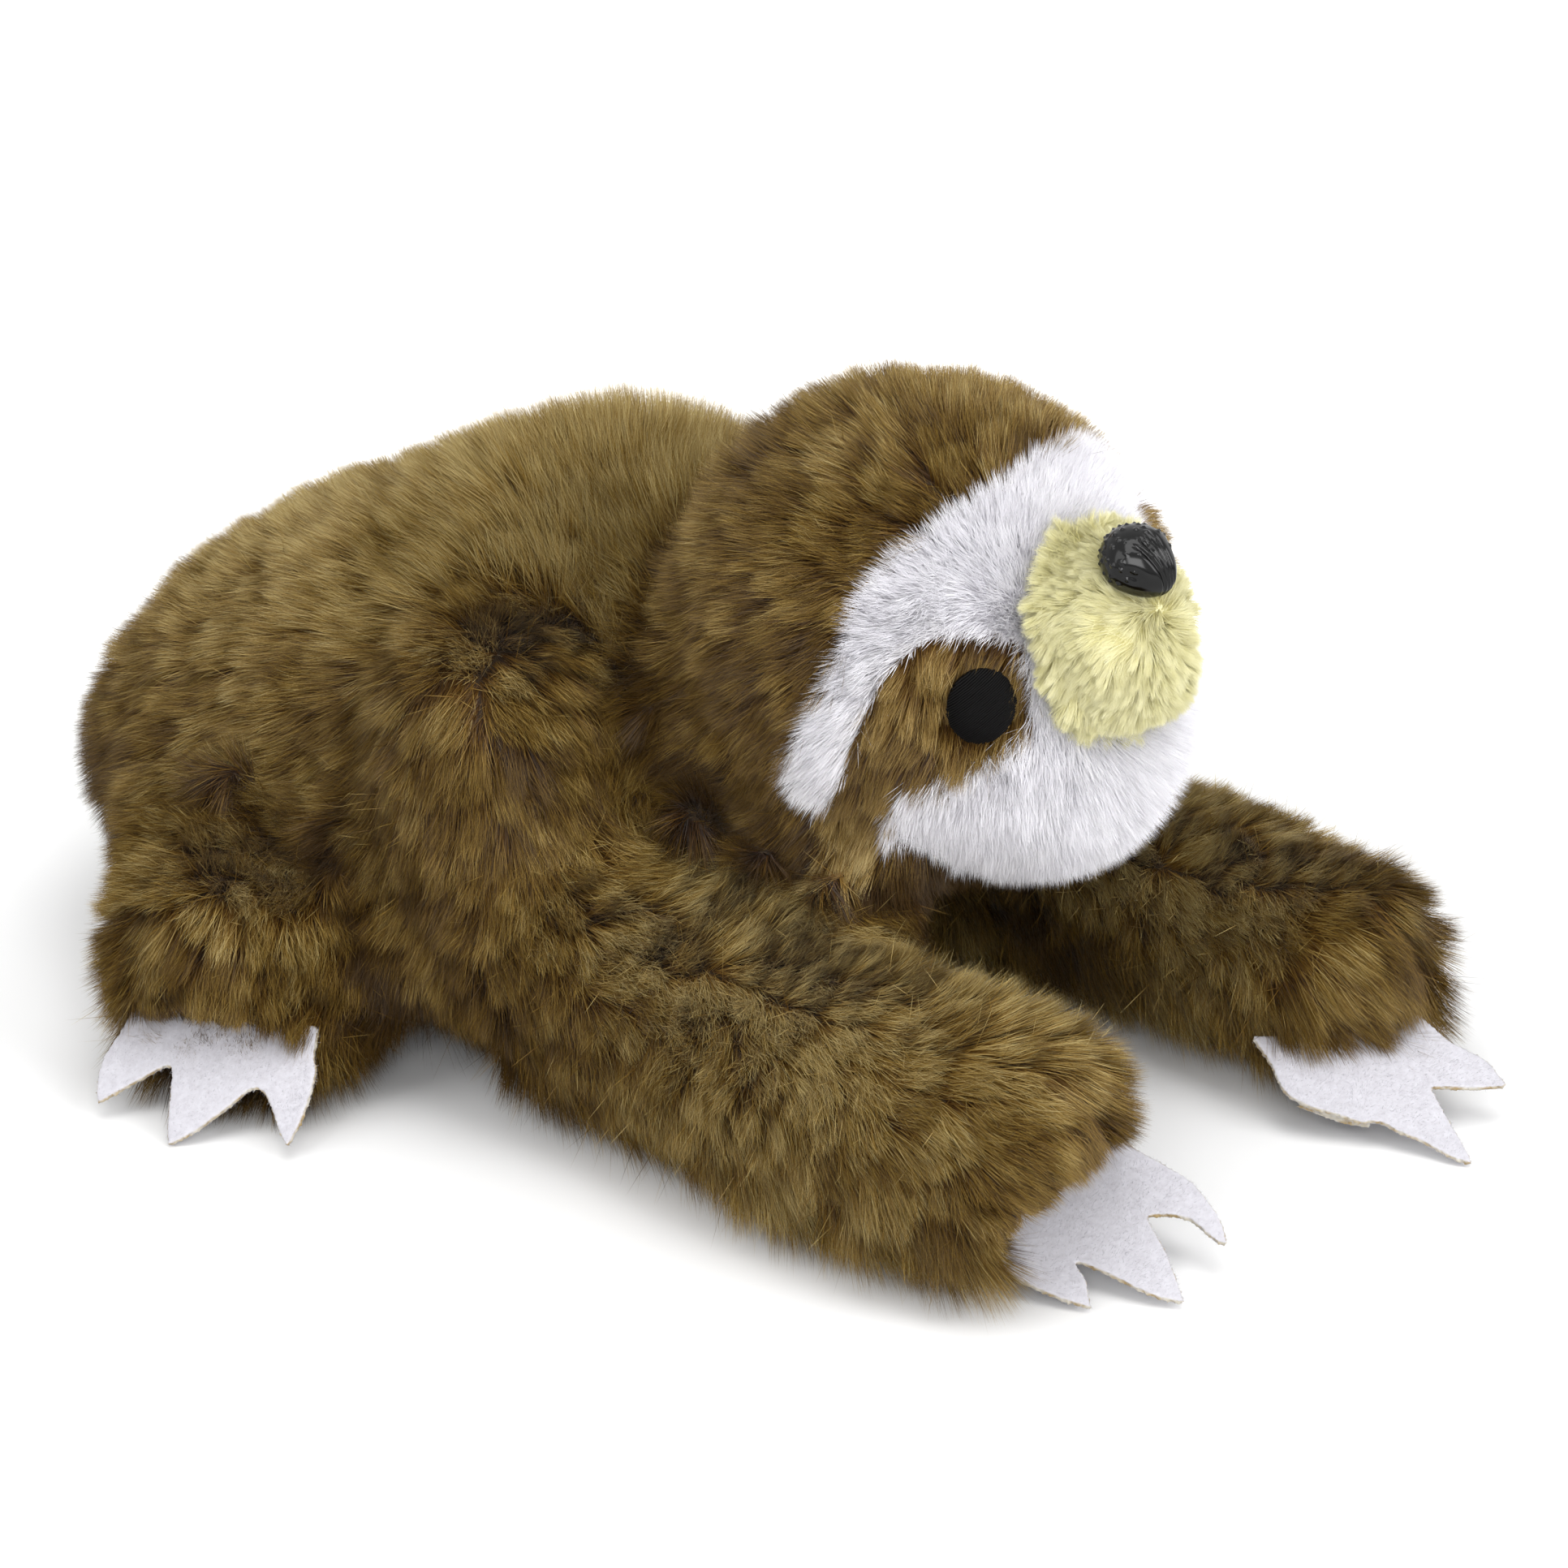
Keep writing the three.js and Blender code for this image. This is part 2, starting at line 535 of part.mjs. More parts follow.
for (const [side, sign] of [['left', 1], ['right', -1]]) {
  const shoulder = sign > 0 ? SHOULDER : mirrored(SHOULDER);
  const arm = limbForm({
    joint: shoulder, jointRadius: SHOULDER_RADIUS, ...ARMS[side], round: ARM_ROUND, sides: 14, steps: 14 });
  buildLimb(`arm_${side}`, arm, {
    joint: shoulder, jointRadius: SHOULDER_RADIUS, axis: ACROSS, lifts: [0], seam: ARM_SEAM_Z,
  }, clawPlaces[`hand_claws_${side}`]);
  const hip = sign > 0 ? HIP : mirrored(HIP);
  const route = sign > 0 ? LEG_ROUTE.map(mirrored) : LEG_ROUTE;
  const leg = limbForm({
    joint: hip, jointRadius: HIP_RADIUS, route,
    radius: LEG_RADIUS, endRadius: FOOT_RADIUS, round: LEG_ROUND, sides: 14, steps: 10 });
  const outward = vector(route.at(-1)).sub(vector(hip)).setZ(0).normalize();
  buildLimb(`leg_${side}`, leg, {
    joint: hip, jointRadius: HIP_RADIUS,
    axis: new THREE.Vector3().crossVectors(outward, new THREE.Vector3(0, 0, 1)),
    lifts: [0, LEG_LIFT], seam: LEG_SEAM_Z,
  }, clawPlaces[`foot_claws_${side}`]);
}

export default toy;
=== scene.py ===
import math
from functools import partial

import bmesh
import bpy
import numpy as np
from mathutils import Matrix, Vector
from mathutils.bvhtree import BVHTree
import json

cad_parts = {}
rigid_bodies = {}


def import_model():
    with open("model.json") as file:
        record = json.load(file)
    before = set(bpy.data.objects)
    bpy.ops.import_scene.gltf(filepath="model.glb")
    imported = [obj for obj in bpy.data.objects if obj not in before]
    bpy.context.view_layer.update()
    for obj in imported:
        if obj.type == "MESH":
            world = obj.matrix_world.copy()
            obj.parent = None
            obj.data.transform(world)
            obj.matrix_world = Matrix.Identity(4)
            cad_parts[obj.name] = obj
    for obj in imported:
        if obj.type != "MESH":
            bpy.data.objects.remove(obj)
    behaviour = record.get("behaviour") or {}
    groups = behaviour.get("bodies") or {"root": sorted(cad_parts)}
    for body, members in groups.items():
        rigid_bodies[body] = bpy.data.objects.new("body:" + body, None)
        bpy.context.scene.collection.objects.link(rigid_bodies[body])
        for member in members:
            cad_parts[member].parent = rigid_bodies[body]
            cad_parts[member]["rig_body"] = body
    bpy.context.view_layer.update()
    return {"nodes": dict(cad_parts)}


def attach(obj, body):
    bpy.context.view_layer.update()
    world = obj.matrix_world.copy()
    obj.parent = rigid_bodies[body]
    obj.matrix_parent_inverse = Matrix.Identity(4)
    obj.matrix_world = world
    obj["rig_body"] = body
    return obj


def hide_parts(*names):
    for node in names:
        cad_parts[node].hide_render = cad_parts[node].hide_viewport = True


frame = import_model()

MM = 0.001

# ---------------------------------------------------------------- helpers


def linear(colour):
    """An sRGB hex colour, turned linear."""
    parts = [int(colour[i : i + 2], 16) / 255 for i in (1, 3, 5)]
    return [c / 12.92 if c <= 0.04045 else ((c + 0.055) / 1.055) ** 2.4 for c in parts] + [1.0]


def add(tree, kind, inputs=(), stops=(), **settings):
    """Adds one node to a tree, with its settings, its values and its links.

    Its inputs come by their sockets' names or in their order, and a colour ramp has its stops.
    """
    node = tree.nodes.new(kind)
    for name, value in settings.items():
        setattr(node, name, value)
    for name, value in (inputs if isinstance(inputs, dict) else dict(enumerate(inputs))).items():
        sockets = [s for s in node.inputs if s.enabled]
        socket = sockets[name] if isinstance(name, int) else next(s for s in sockets if s.name == name)
        if isinstance(value, bpy.types.Node):
            value = first(value)
        if isinstance(value, bpy.types.NodeSocket):
            tree.links.new(value, socket)
        else:
            socket.default_value = value
    if stops:
        points = node.color_ramp.elements
        while len(points) > 1:
            points.remove(points[-1])
        points[0].position, points[0].color = stops[0][0], linear(stops[0][1])
        for position, colour in stops[1:]:
            points.new(position).color = linear(colour)
    return node


def first(node, name=None):
    """The first output of a node that is in use, or the one of that name."""
    return next(s for s in node.outputs if s.enabled and name in (None, s.name))


def new_tree(name, inputs, output):
    """A Geometry Nodes tree with these named inputs and one output, and its inputs' sockets."""
    tree = bpy.data.node_groups.new(name, "GeometryNodeTree")
    for label, kind, value in inputs:
        socket = tree.interface.new_socket(name=label, in_out="INPUT", socket_type=kind)
        if value is not None:
            socket.default_value = value
    tree.interface.new_socket(name=output, in_out="OUTPUT", socket_type="NodeSocketGeometry")
    return tree, add(tree, "NodeGroupInput").outputs


def grown(ground, tree, settings, name):
    """The mesh that a tree with these settings makes of an object, which is removed."""
    sewing = ground.modifiers.new(tree.name, "NODES")
    sewing.node_group = tree
    sockets = {s.name: s.identifier for s in tree.interface.items_tree if s.in_out == "INPUT"}
    for setting, value in settings.items():
        sewing[sockets[setting]] = value
    mesh = finished(ground, name)
    bpy.data.objects.remove(ground)
    return mesh


def show(name, mesh):
    """A new object for this mesh, in the scene."""
    piece = bpy.data.objects.new(name, mesh)
    bpy.context.scene.collection.objects.link(piece)
    return piece


def finished(piece, name):
    """The mesh that a piece's modifiers make."""
    bpy.context.view_layer.update()
    graph = bpy.context.evaluated_depsgraph_get()
    mesh = bpy.data.meshes.new_from_object(piece.evaluated_get(graph), depsgraph=graph)
    mesh.name = name
    return mesh


def meshed(shape, name):
    """A bmesh made a mesh of this name."""
    mesh = bpy.data.meshes.new(name)
    shape.to_mesh(mesh)
    shape.free()
    return mesh


def smooth(mesh):
    mesh.polygons.foreach_set("use_smooth", [True] * len(mesh.polygons))


def corners(mesh):
    """A mesh's vertices in millimetres, one row each."""
    flat = np.zeros(len(mesh.vertices) * 3, np.float32)
    mesh.vertices.foreach_get("co", flat)
    return flat.reshape(-1, 3).astype(float) / MM


def outward(mesh):
    """The outward direction at each vertex."""
    flat = np.zeros(len(mesh.vertices) * 3, np.float32)
    mesh.vertex_normals.foreach_get("vector", flat)
    return flat.reshape(-1, 3).astype(float)


def place(mesh, points):
    """Puts a mesh's vertices at these points, in millimetres."""
    mesh.vertices.foreach_set("co", (points * MM).astype(np.float32).ravel())
    mesh.update()


def relaxed(mesh, values, rounds):
    """Values at the vertices, evened out with their neighbours so many times."""
    edges = np.zeros(len(mesh.edges) * 2, np.int32)
    mesh.edges.foreach_get("vertices", edges)
    a, b = edges.reshape(-1, 2).T
    count = np.bincount(np.r_[a, b], minlength=len(mesh.vertices))[:, None]
    values = values.reshape(len(mesh.vertices), -1)
    for _ in range(rounds):
        total = np.zeros_like(values)
        np.add.at(total, a, values[b])
        np.add.at(total, b, values[a])
        values = 0.5 * values + 0.5 * total / np.maximum(count, 1)
    return values


def unit(vectors):
    return vectors / np.maximum(np.linalg.norm(vectors, axis=-1, keepdims=True), 1e-9)


def ramped(values, none, full):
    """From 0 where a value is none to 1 where it is full."""
    return np.clip((values - none) / (full - none), 0, 1)


def along_surface(vectors, normals):
    """The part of each direction that lies along the surface."""
    return unit(vectors - (vectors * normals).sum(1, keepdims=True) * normals)


def keep(mesh, name, kind, values):
    """Stores values on a mesh's vertices under a name."""
    attribute = mesh.attributes.new(name, kind, "POINT")
    attribute.data.foreach_set(
        "vector" if kind == "FLOAT_VECTOR" else "value",
        np.ascontiguousarray(values, np.float32).ravel(),
    )


# ---------------------------------------------------------------- the measures, in millimetres

HEAD_CENTRE = np.array([-8.0, -118.0, 98.0])
HEAD_TURN, HEAD_NOD, HEAD_TILT = 16.7, 14.5, 14.3
HEAD_AXES = np.array(
    Matrix.Rotation(math.radians(-HEAD_TURN), 3, "Z")
    @ Matrix.Rotation(math.radians(-HEAD_NOD), 3, "X")
    @ Matrix.Rotation(math.radians(-HEAD_TILT), 3, "Y")
)
ARM_ROUTES = {  # the arms' and legs' centrelines, from the torso outwards
    "right": [
        (-53, -45, 56), (-53, -58, 38), (-55, -84, 29),
        (-63, -118, 28.6), (-71, -152, 28.8), (-72, -195, 27.6),
    ],
    "left": [
        (55, -46, 56), (57, -62, 36), (57, -88, 27),
        (53, -120, 26.5), (46, -160, 26.5), (33, -206, 25),
    ],
}
LEG_ROUTES = {
    "right": [(-46, 24, 34), (-62, 11, 31), (-84, 0, 27.6), (-106, -8, 23.6)],
    "left": [(46, 24, 34), (62, 11, 31), (84, 0, 27.6), (106, -8, 23.6)],
}
MUZZLE_MIDDLE = np.array([0, -50.0, 0])  # in the head's own frame
PILE_DEPTH = 7.0  # from the backing cloth to the tips of the combed long pile
MUZZLE_PILE_DEPTH = 3.0
GRAIN = 2.3  # the size of a face of the backing cloth
SHRINK_STEPS = 5  # steps in which a form shrinks by the pile's depth
MUZZLE_RIM = 2.5  # how far the face is drawn up round the muzzle's seam
FLANK_DOWN = 9.0  # how far the belly sags between the leg and the arm
CHIN_OUT = 4.5  # how far the chin's stuffing stands out
CLOTH_THICK = 0.5
UNDER_SKIN = 1.5  # how much deeper each stuffed body lies than the skin that bridges its seams
EYE_RADIUS = 6.5
EYE_PROUD = 0.9  # how far the stitches stand above the plain solid's
SEAM_BRIDGE = 5.0  # half the widest crease that the skin closes over
CREASE_SHADE = 0.6  # painted shade: how much darker the pile is painted over a bridged crease
COMB_ROUNDS = 24  # rounds of smoothing of the brown pile's direction, across the seams
GROOVE_FILL = 40  # rounds of smoothing that fill the grooves between the limbs and the torso

NOSE_RAISE = 44.0  # degrees above the muzzle's own line
NOSE_OUT = 20.5  # from the muzzle's middle to the nose's
NOSE_HALF = np.array([7.25, 7.8, 6.0])  # half its width, height and thickness
NOSE_TAPER = np.array([0.28, 0.0, 0.1])  # how much narrower, lower and flatter its lower end is
SHANK_RADIUS, SHANK_LENGTH = 2.4, 11.0

BODY_CLOTHS = {
    "torso": (["back_panel_left", "back_panel_right", "belly_panel"], "torso_stuffing"),
    "head": (["head_back", "face_mask", "eye_patch_left", "eye_patch_right"], "head_stuffing"),
}
for limb in ("arm_left", "arm_right", "leg_left", "leg_right"):
    BODY_CLOTHS[limb] = ([f"{limb}_upper", f"{limb}_lower"], f"{limb}_stuffing")

# ---------------------------------------------------------------- the felt claws' patterns

# Each felt piece lies in a plane: the middle of its root, the way it points and the way across. Its
# seam is where the paw's pile ends on it, and its cut goes round the prongs, both as distances
# across and along in millimetres. It reaches TUCKED further back, into the paw.
TUCKED = 6.0
FELT_THICK = 1.2
SIGHT = unit(np.array([0.786, 0.491, -0.375]))  # the way the toy is looked at
FELT_CUTS = {
    "hand_right": dict(
        root=(-58, -179.5, 12.8),
        toward=(-0.24, -0.9, -0.35),
        across=(0.874, -0.343, 0.27),
        seam=[(-20.4, -0.2), (-15.9, -1.3), (-9.9, -2.3), (1.3, -2.8), (10.1, -2.9), (14.7, -2.1)],
        cut=[
            (-21.9, 2.1), (-21.6, 6.3), (-20.6, 9.7), (-18.5, 15.1), (-15.1, 21.1), (-13.9, 19.1),
            (-11.8, 16.1), (-10.9, 12.4), (-10.2, 11.6), (-9.5, 12.9), (-7.7, 17.0), (-5.6, 23.4),
            (-3.9, 27.3), (-1.1, 31.0), (-0.2, 29.2), (1.9, 25.0), (3.9, 20.8), (5.8, 14.6),
            (6.6, 12.6), (7.8, 12.9), (9.8, 14.5), (11.2, 15.9), (12.5, 17.9), (12.8, 20.3),
            (12.9, 24.9), (13.9, 26.4), (15.9, 23.5), (17.2, 20.5), (18.2, 15.1), (18.6, 12.1),
            (18.2, 9.6), (17.4, 6.2), (15.7, 0.0),
        ],
    ),
    "hand_left": dict(
        root=(24.3, -201, 12),
        toward=(-0.27, -0.9, -0.34),
        across=(0.93, -0.25, 0.25),
        seam=[
            (-14.3, -12.4), (-9.9, -9.0), (-7.6, -7.2), (-2.7, -4.8),
            (2.7, -1.8), (9.4, -1.9), (15.0, -1.0), (16.9, 4.0),
        ],
        cut=[
            (-16.0, -11.2), (-18.6, -5.3), (-19.0, -2.5), (-17.5, 2.2), (-14.3, 6.9), (-12.1, 11.1),
            (-10.1, 11.9), (-8.6, 13.7), (-7.9, 16.5), (-5.8, 21.1), (-3.8, 28.1), (-1.8, 31.3),
            (-0.6, 29.0), (1.3, 23.4), (3.5, 17.3), (5.3, 12.5), (7.7, 14.2), (12.8, 18.2),
            (17.9, 21.3), (19.3, 15.1), (18.9, 12.0), (16.8, 6.1),
        ],
        folded=[(-18.0, -1.0), (-13.6, 7.6), (-10.0, 11.6), (-2.0, 5.0), (-9.0, 3.0)],
    ),
    "foot_right": dict(
        root=(-93, -5, 17),
        toward=(-0.75, -0.15, -0.62),
        across=(0.13, -0.99, 0.0),
        seam=[
            (-19.9, 1.4), (-17.2, -0.2), (-9.7, -0.2), (-4.1, -0.1),
            (1.6, 0.4), (7.5, 1.3), (16.9, 2.3), (20.7, 2.6),
        ],
        cut=[
            (22.2, 3.3), (23.7, 5.8), (24.3, 11.1), (24.3, 17.4), (23.4, 22.6), (21.0, 20.2),
            (16.7, 14.4), (14.8, 12.2), (12.6, 11.3), (11.0, 11.9), (8.1, 16.1), (2.7, 22.7),
            (-1.7, 26.3), (-3.0, 23.4), (-5.1, 16.5), (-6.8, 10.8), (-7.7, 9.3), (-9.4, 10.1),
            (-13.6, 13.8), (-20.3, 19.8), (-21.3, 17.8), (-22.5, 13.8), (-22.8, 10.1), (-22.2, 6.9),
            (-21.4, 4.4),
        ],
    ),
}
FELT_CUTS["foot_left"] = {
    name: np.array(value) * (-1, 1, 1) if name in ("root", "toward", "across") else value
    for name, value in FELT_CUTS["foot_right"].items()
}


class Felt:
    """The plane of one felt piece, and what lies where in it."""

    def __init__(self, pattern):
        self.pattern = pattern
        self.root = np.array(pattern["root"], float)
        self.ahead = unit(np.array(pattern["toward"], float))
        across = np.array(pattern["across"], float)
        self.across = unit(across - across @ self.ahead * self.ahead)
        self.face = np.cross(self.across, self.ahead)
        self.face *= np.sign(self.face[2])

    def seen_at(self, points):
        """Where points are seen against the plane, across and along it, and how far above it."""
        above = (points - self.root) @ self.face
        spots = points - np.outer(above / (SIGHT @ self.face), SIGHT) - self.root
        return spots @ self.across, spots @ self.ahead, above

    def drawn_back(self, points, depth):
        """The paw's cloth, drawn back so that its pile ends at the seam."""
        a, f, above = self.seen_at(points)
        seam = np.array(sorted(self.pattern["seam"]))
        past = np.clip(f - np.interp(a, *seam.T) + depth, 0, 25)
        held = np.clip((seam[-1, 0] + 6 - a) / 4, 0, 1) * np.clip((a - seam[0, 0] + 6) / 4, 0, 1)
        return points - np.outer(past * held * np.clip((above + 4) / 3, 0, 1), self.ahead)

    def placed(self, flat, height):
        """Spots of the pattern, at a height over the plane."""
        across, along = np.array(flat).T
        flat = np.outer(across, self.across) + np.outer(along, self.ahead)
        return self.root + flat + height * self.face


FELTS = {name: Felt(pattern) for name, pattern in FELT_CUTS.items()}

# ---------------------------------------------------------------- the backing cloth


def surface(nodes):
    """A search tree over the surfaces of some CAD nodes, in millimetres."""
    points, faces = [], []
    for node in nodes:
        mesh = frame["nodes"][node].data
        start = len(points)
        points += [tuple(p) for p in corners(mesh)]
        faces += [tuple(start + v for v in f.vertices) for f in mesh.polygons]
    return BVHTree.FromPolygons(points, faces)


THICKEST = 6.0  # no point inside a plush panel is deeper than this


def depth_in(tree, points):
    """How far each point lies inside a closed surface, negative outside."""
    found = np.zeros(len(points))
    for i, p in enumerate(points):
        at, normal, _, far = tree.find_nearest(Vector(p))
        within = (Vector(p) - at).dot(normal) <= 0 and far < THICKEST
        found[i] = far if within else -far
    return found


def evened(mesh, grain):
    """The same closed form with even faces of one size."""
    piece = show(mesh.name, mesh)
    remesh = piece.modifiers.new("even faces", "REMESH")
    remesh.mode = "VOXEL"
    remesh.voxel_size = grain * MM
    even = finished(piece, mesh.name)
    bpy.data.objects.remove(piece)
    return even


def keep_largest(mesh):
    """Leaves only the largest closed shell of a mesh."""
    whole = bmesh.new()
    whole.from_mesh(mesh)
    islands, left = [], set(whole.verts)
    while left:
        island, edge = set(), [left.pop()]
        while edge:
            v = edge.pop()
            island.add(v)
            for e in v.link_edges:
                other = e.other_vert(v)
                if other in left:
                    left.remove(other)
                    edge.append(other)
        islands.append(island)
    islands.sort(key=len)
    for island in islands[:-1]:
        bmesh.ops.delete(whole, geom=list(island), context="VERTS")
    bmesh.ops.recalc_face_normals(whole, faces=whole.faces)
    whole.to_mesh(mesh)
    whole.free()
    smooth(mesh)


def stuffed_form(name, nodes, grain, bridge, depth, fill=0):
    """One closed form over some solids, smaller by the pile's depth.

    Creases up to twice the bridge wide are closed over, and what is left of the grooves is filled
    in so many rounds of smoothing.
    """
    shell = bmesh.new()
    for node in nodes:
        shell.from_mesh(frame["nodes"][node].data)
    bmesh.ops.remove_doubles(shell, verts=shell.verts, dist=1e-6)
    mesh = evened(meshed(shell, name), grain)
    keep_largest(mesh)
    for _ in range(2):
        place(mesh, relaxed(mesh, corners(mesh) + outward(mesh) * bridge / 2, 1))
    mesh = evened(mesh, grain)
    keep_largest(mesh)
    if fill:
        sharp, normals = corners(mesh), outward(mesh)
        filled = np.clip(((relaxed(mesh, sharp, fill) - sharp) * normals).sum(1), 0, None)
        place(mesh, sharp + normals * relaxed(mesh, filled, 3))
    for _ in range(SHRINK_STEPS):
        place(mesh, relaxed(mesh, corners(mesh) - outward(mesh) * (bridge + depth) / SHRINK_STEPS, 1))
    mesh = evened(mesh, grain)
    keep_largest(mesh)
    place(mesh, relaxed(mesh, corners(mesh), 3))
    return mesh


def held_under(mesh, skin, gap):
    """Keeps a form at least the gap below the skin that bridges it."""
    faces = [tuple(f.vertices) for f in skin.polygons]
    tree = BVHTree.FromPolygons([tuple(p) for p in corners(skin)], faces)
    for _ in range(2):
        points = corners(mesh)
        for i, p in enumerate(points):
            at, normal, _, far = tree.find_nearest(Vector(p))
            if (Vector(p) - at).dot(normal) > -gap:
                points[i] = at - normal * gap
        place(mesh, relaxed(mesh, points, 1))


# ---------------------------------------------------------------- how the pile lies


def on_route(points, route):
    """The direction of a limb's centreline nearest each point, and how far along it is, 0 to 1."""
    route = np.array(route, float)
    best = np.full(len(points), 1e9)
    along = np.zeros((len(points), 3))
    share = np.zeros(len(points))
    lengths = np.linalg.norm(np.diff(route, axis=0), axis=1)
    before = np.r_[0, np.cumsum(lengths)]
    for i in range(len(route) - 1):
        a, b = route[i], route[i + 1]
        t = np.clip(((points - a) @ (b - a)) / ((b - a) @ (b - a)), 0, 1)
        far = np.linalg.norm(points - (a + t[:, None] * (b - a)), axis=1)
        nearer = far < best
        best[nearer] = far[nearer]
        along[nearer] = (b - a) / lengths[i]
        share[nearer] = ((before[i] + t * lengths[i]) / before[-1])[nearer]
    return along, share


def in_head(points):
    """Points from the shared frame in the head's own: x to its left, y back, z up."""
    return (points - HEAD_CENTRE) @ HEAD_AXES


def comb_torso(points, normals):
    side = np.clip(points[:, 0] / 50, -1, 1)
    low = ramped(points[:, 2], 42, 22)
    flow = np.c_[0.35 * side, 0.85 - 0.6 * low, -0.35 - 0.6 * np.abs(side) - 0.8 * low]
    return along_surface(flow, normals)


def comb_limb(points, normals, route):
    """Along the limb on top, down its sides too, and straight down at the seam with the torso."""
    along, share = on_route(points, route)
    start = np.clip(1 - share / 0.15, 0, 1)[:, None]
    side = 0.5 * np.clip(1 - normals[:, 2:], 0, 1)
    flow = along * (1 - 0.8 * start) + np.array([0, 0, -1]) * (side + start)
    return along_surface(flow, normals)


def comb_head(points, normals):
    local = in_head(points)
    outwards = local[:, 0] / 50
    flow = np.c_[0.25 * outwards, np.full(len(points), 0.8), -0.35 - 0.3 * np.abs(outwards)]
    return along_surface(flow @ HEAD_AXES.T, normals)


def comb_face(points, normals):
    local = in_head(points)
    flow = np.c_[local[:, 0], np.zeros(len(points)), local[:, 2]]
    return along_surface(flow @ HEAD_AXES.T, normals)


def comb_patch(points, normals):
    local = in_head(points)
    side = np.sign(local[:, :1])
    flow = np.c_[0.75 * side, np.full(len(points), 0.35), np.full(len(points), -0.8)]
    return along_surface(flow @ HEAD_AXES.T, normals)


def comb_muzzle(points, normals):
    centre = HEAD_CENTRE + HEAD_AXES @ MUZZLE_MIDDLE
    local = (points - centre) @ HEAD_AXES
    flow = np.c_[local[:, 0], np.full(len(points), 6.0), local[:, 2] - 6]
    return along_surface(flow @ HEAD_AXES.T, normals)


# ---------------------------------------------------------------- the pile, sown by a tree of nodes


def strand_shape():
    """One strand, one long and one wide: a blade that narrows to a point."""
    mesh = bpy.data.meshes.new("strand")
    points = [(-0.5, 0, 0), (0.5, 0, 0), (0, 0, 1)]
    mesh.from_pydata(points, [], [(0, 1, 2)])
    across = mesh.attributes.new("strand_place", "FLOAT2", "CORNER")
    for loop in mesh.loops:
        x, _, z = points[loop.vertex_index]
        across.data[loop.index].vector = (x + 0.5, z)
    return show("strand", mesh)


PILE_INPUTS = [
    ("Cloth", "NodeSocketGeometry", None),
    ("Strand", "NodeSocketObject", None),
    ("Strands per square metre", "NodeSocketFloat", 3.0e6),
    ("Length", "NodeSocketFloat", 0.01),
    ("Width", "NodeSocketFloat", 0.0003),
    ("Rise", "NodeSocketFloat", 0.5),
    ("Waver", "NodeSocketFloat", 1.0),
    ("Crimp", "NodeSocketFloat", 1.3),
    ("Stray", "NodeSocketFloat", 0.35),
    ("Lock size", "NodeSocketFloat", 0.005),
    ("Lock pull", "NodeSocketFloat", 0.6),
    ("Shade", "NodeSocketFloat", 0.5),
    ("Shade by place", "NodeSocketFloat", 0.3),
    ("Shade by strand", "NodeSocketFloat", 0.85),
    ("Shade by lock", "NodeSocketFloat", 0.45),
    ("Seed", "NodeSocketInt", 1),
    ("Material", "NodeSocketMaterial", None),
]

MATH, VECTOR, RANDOM = "ShaderNodeMath", "ShaderNodeVectorMath", "FunctionNodeRandomValue"
TONES = 64  # columns of the pile's map, one for each tone


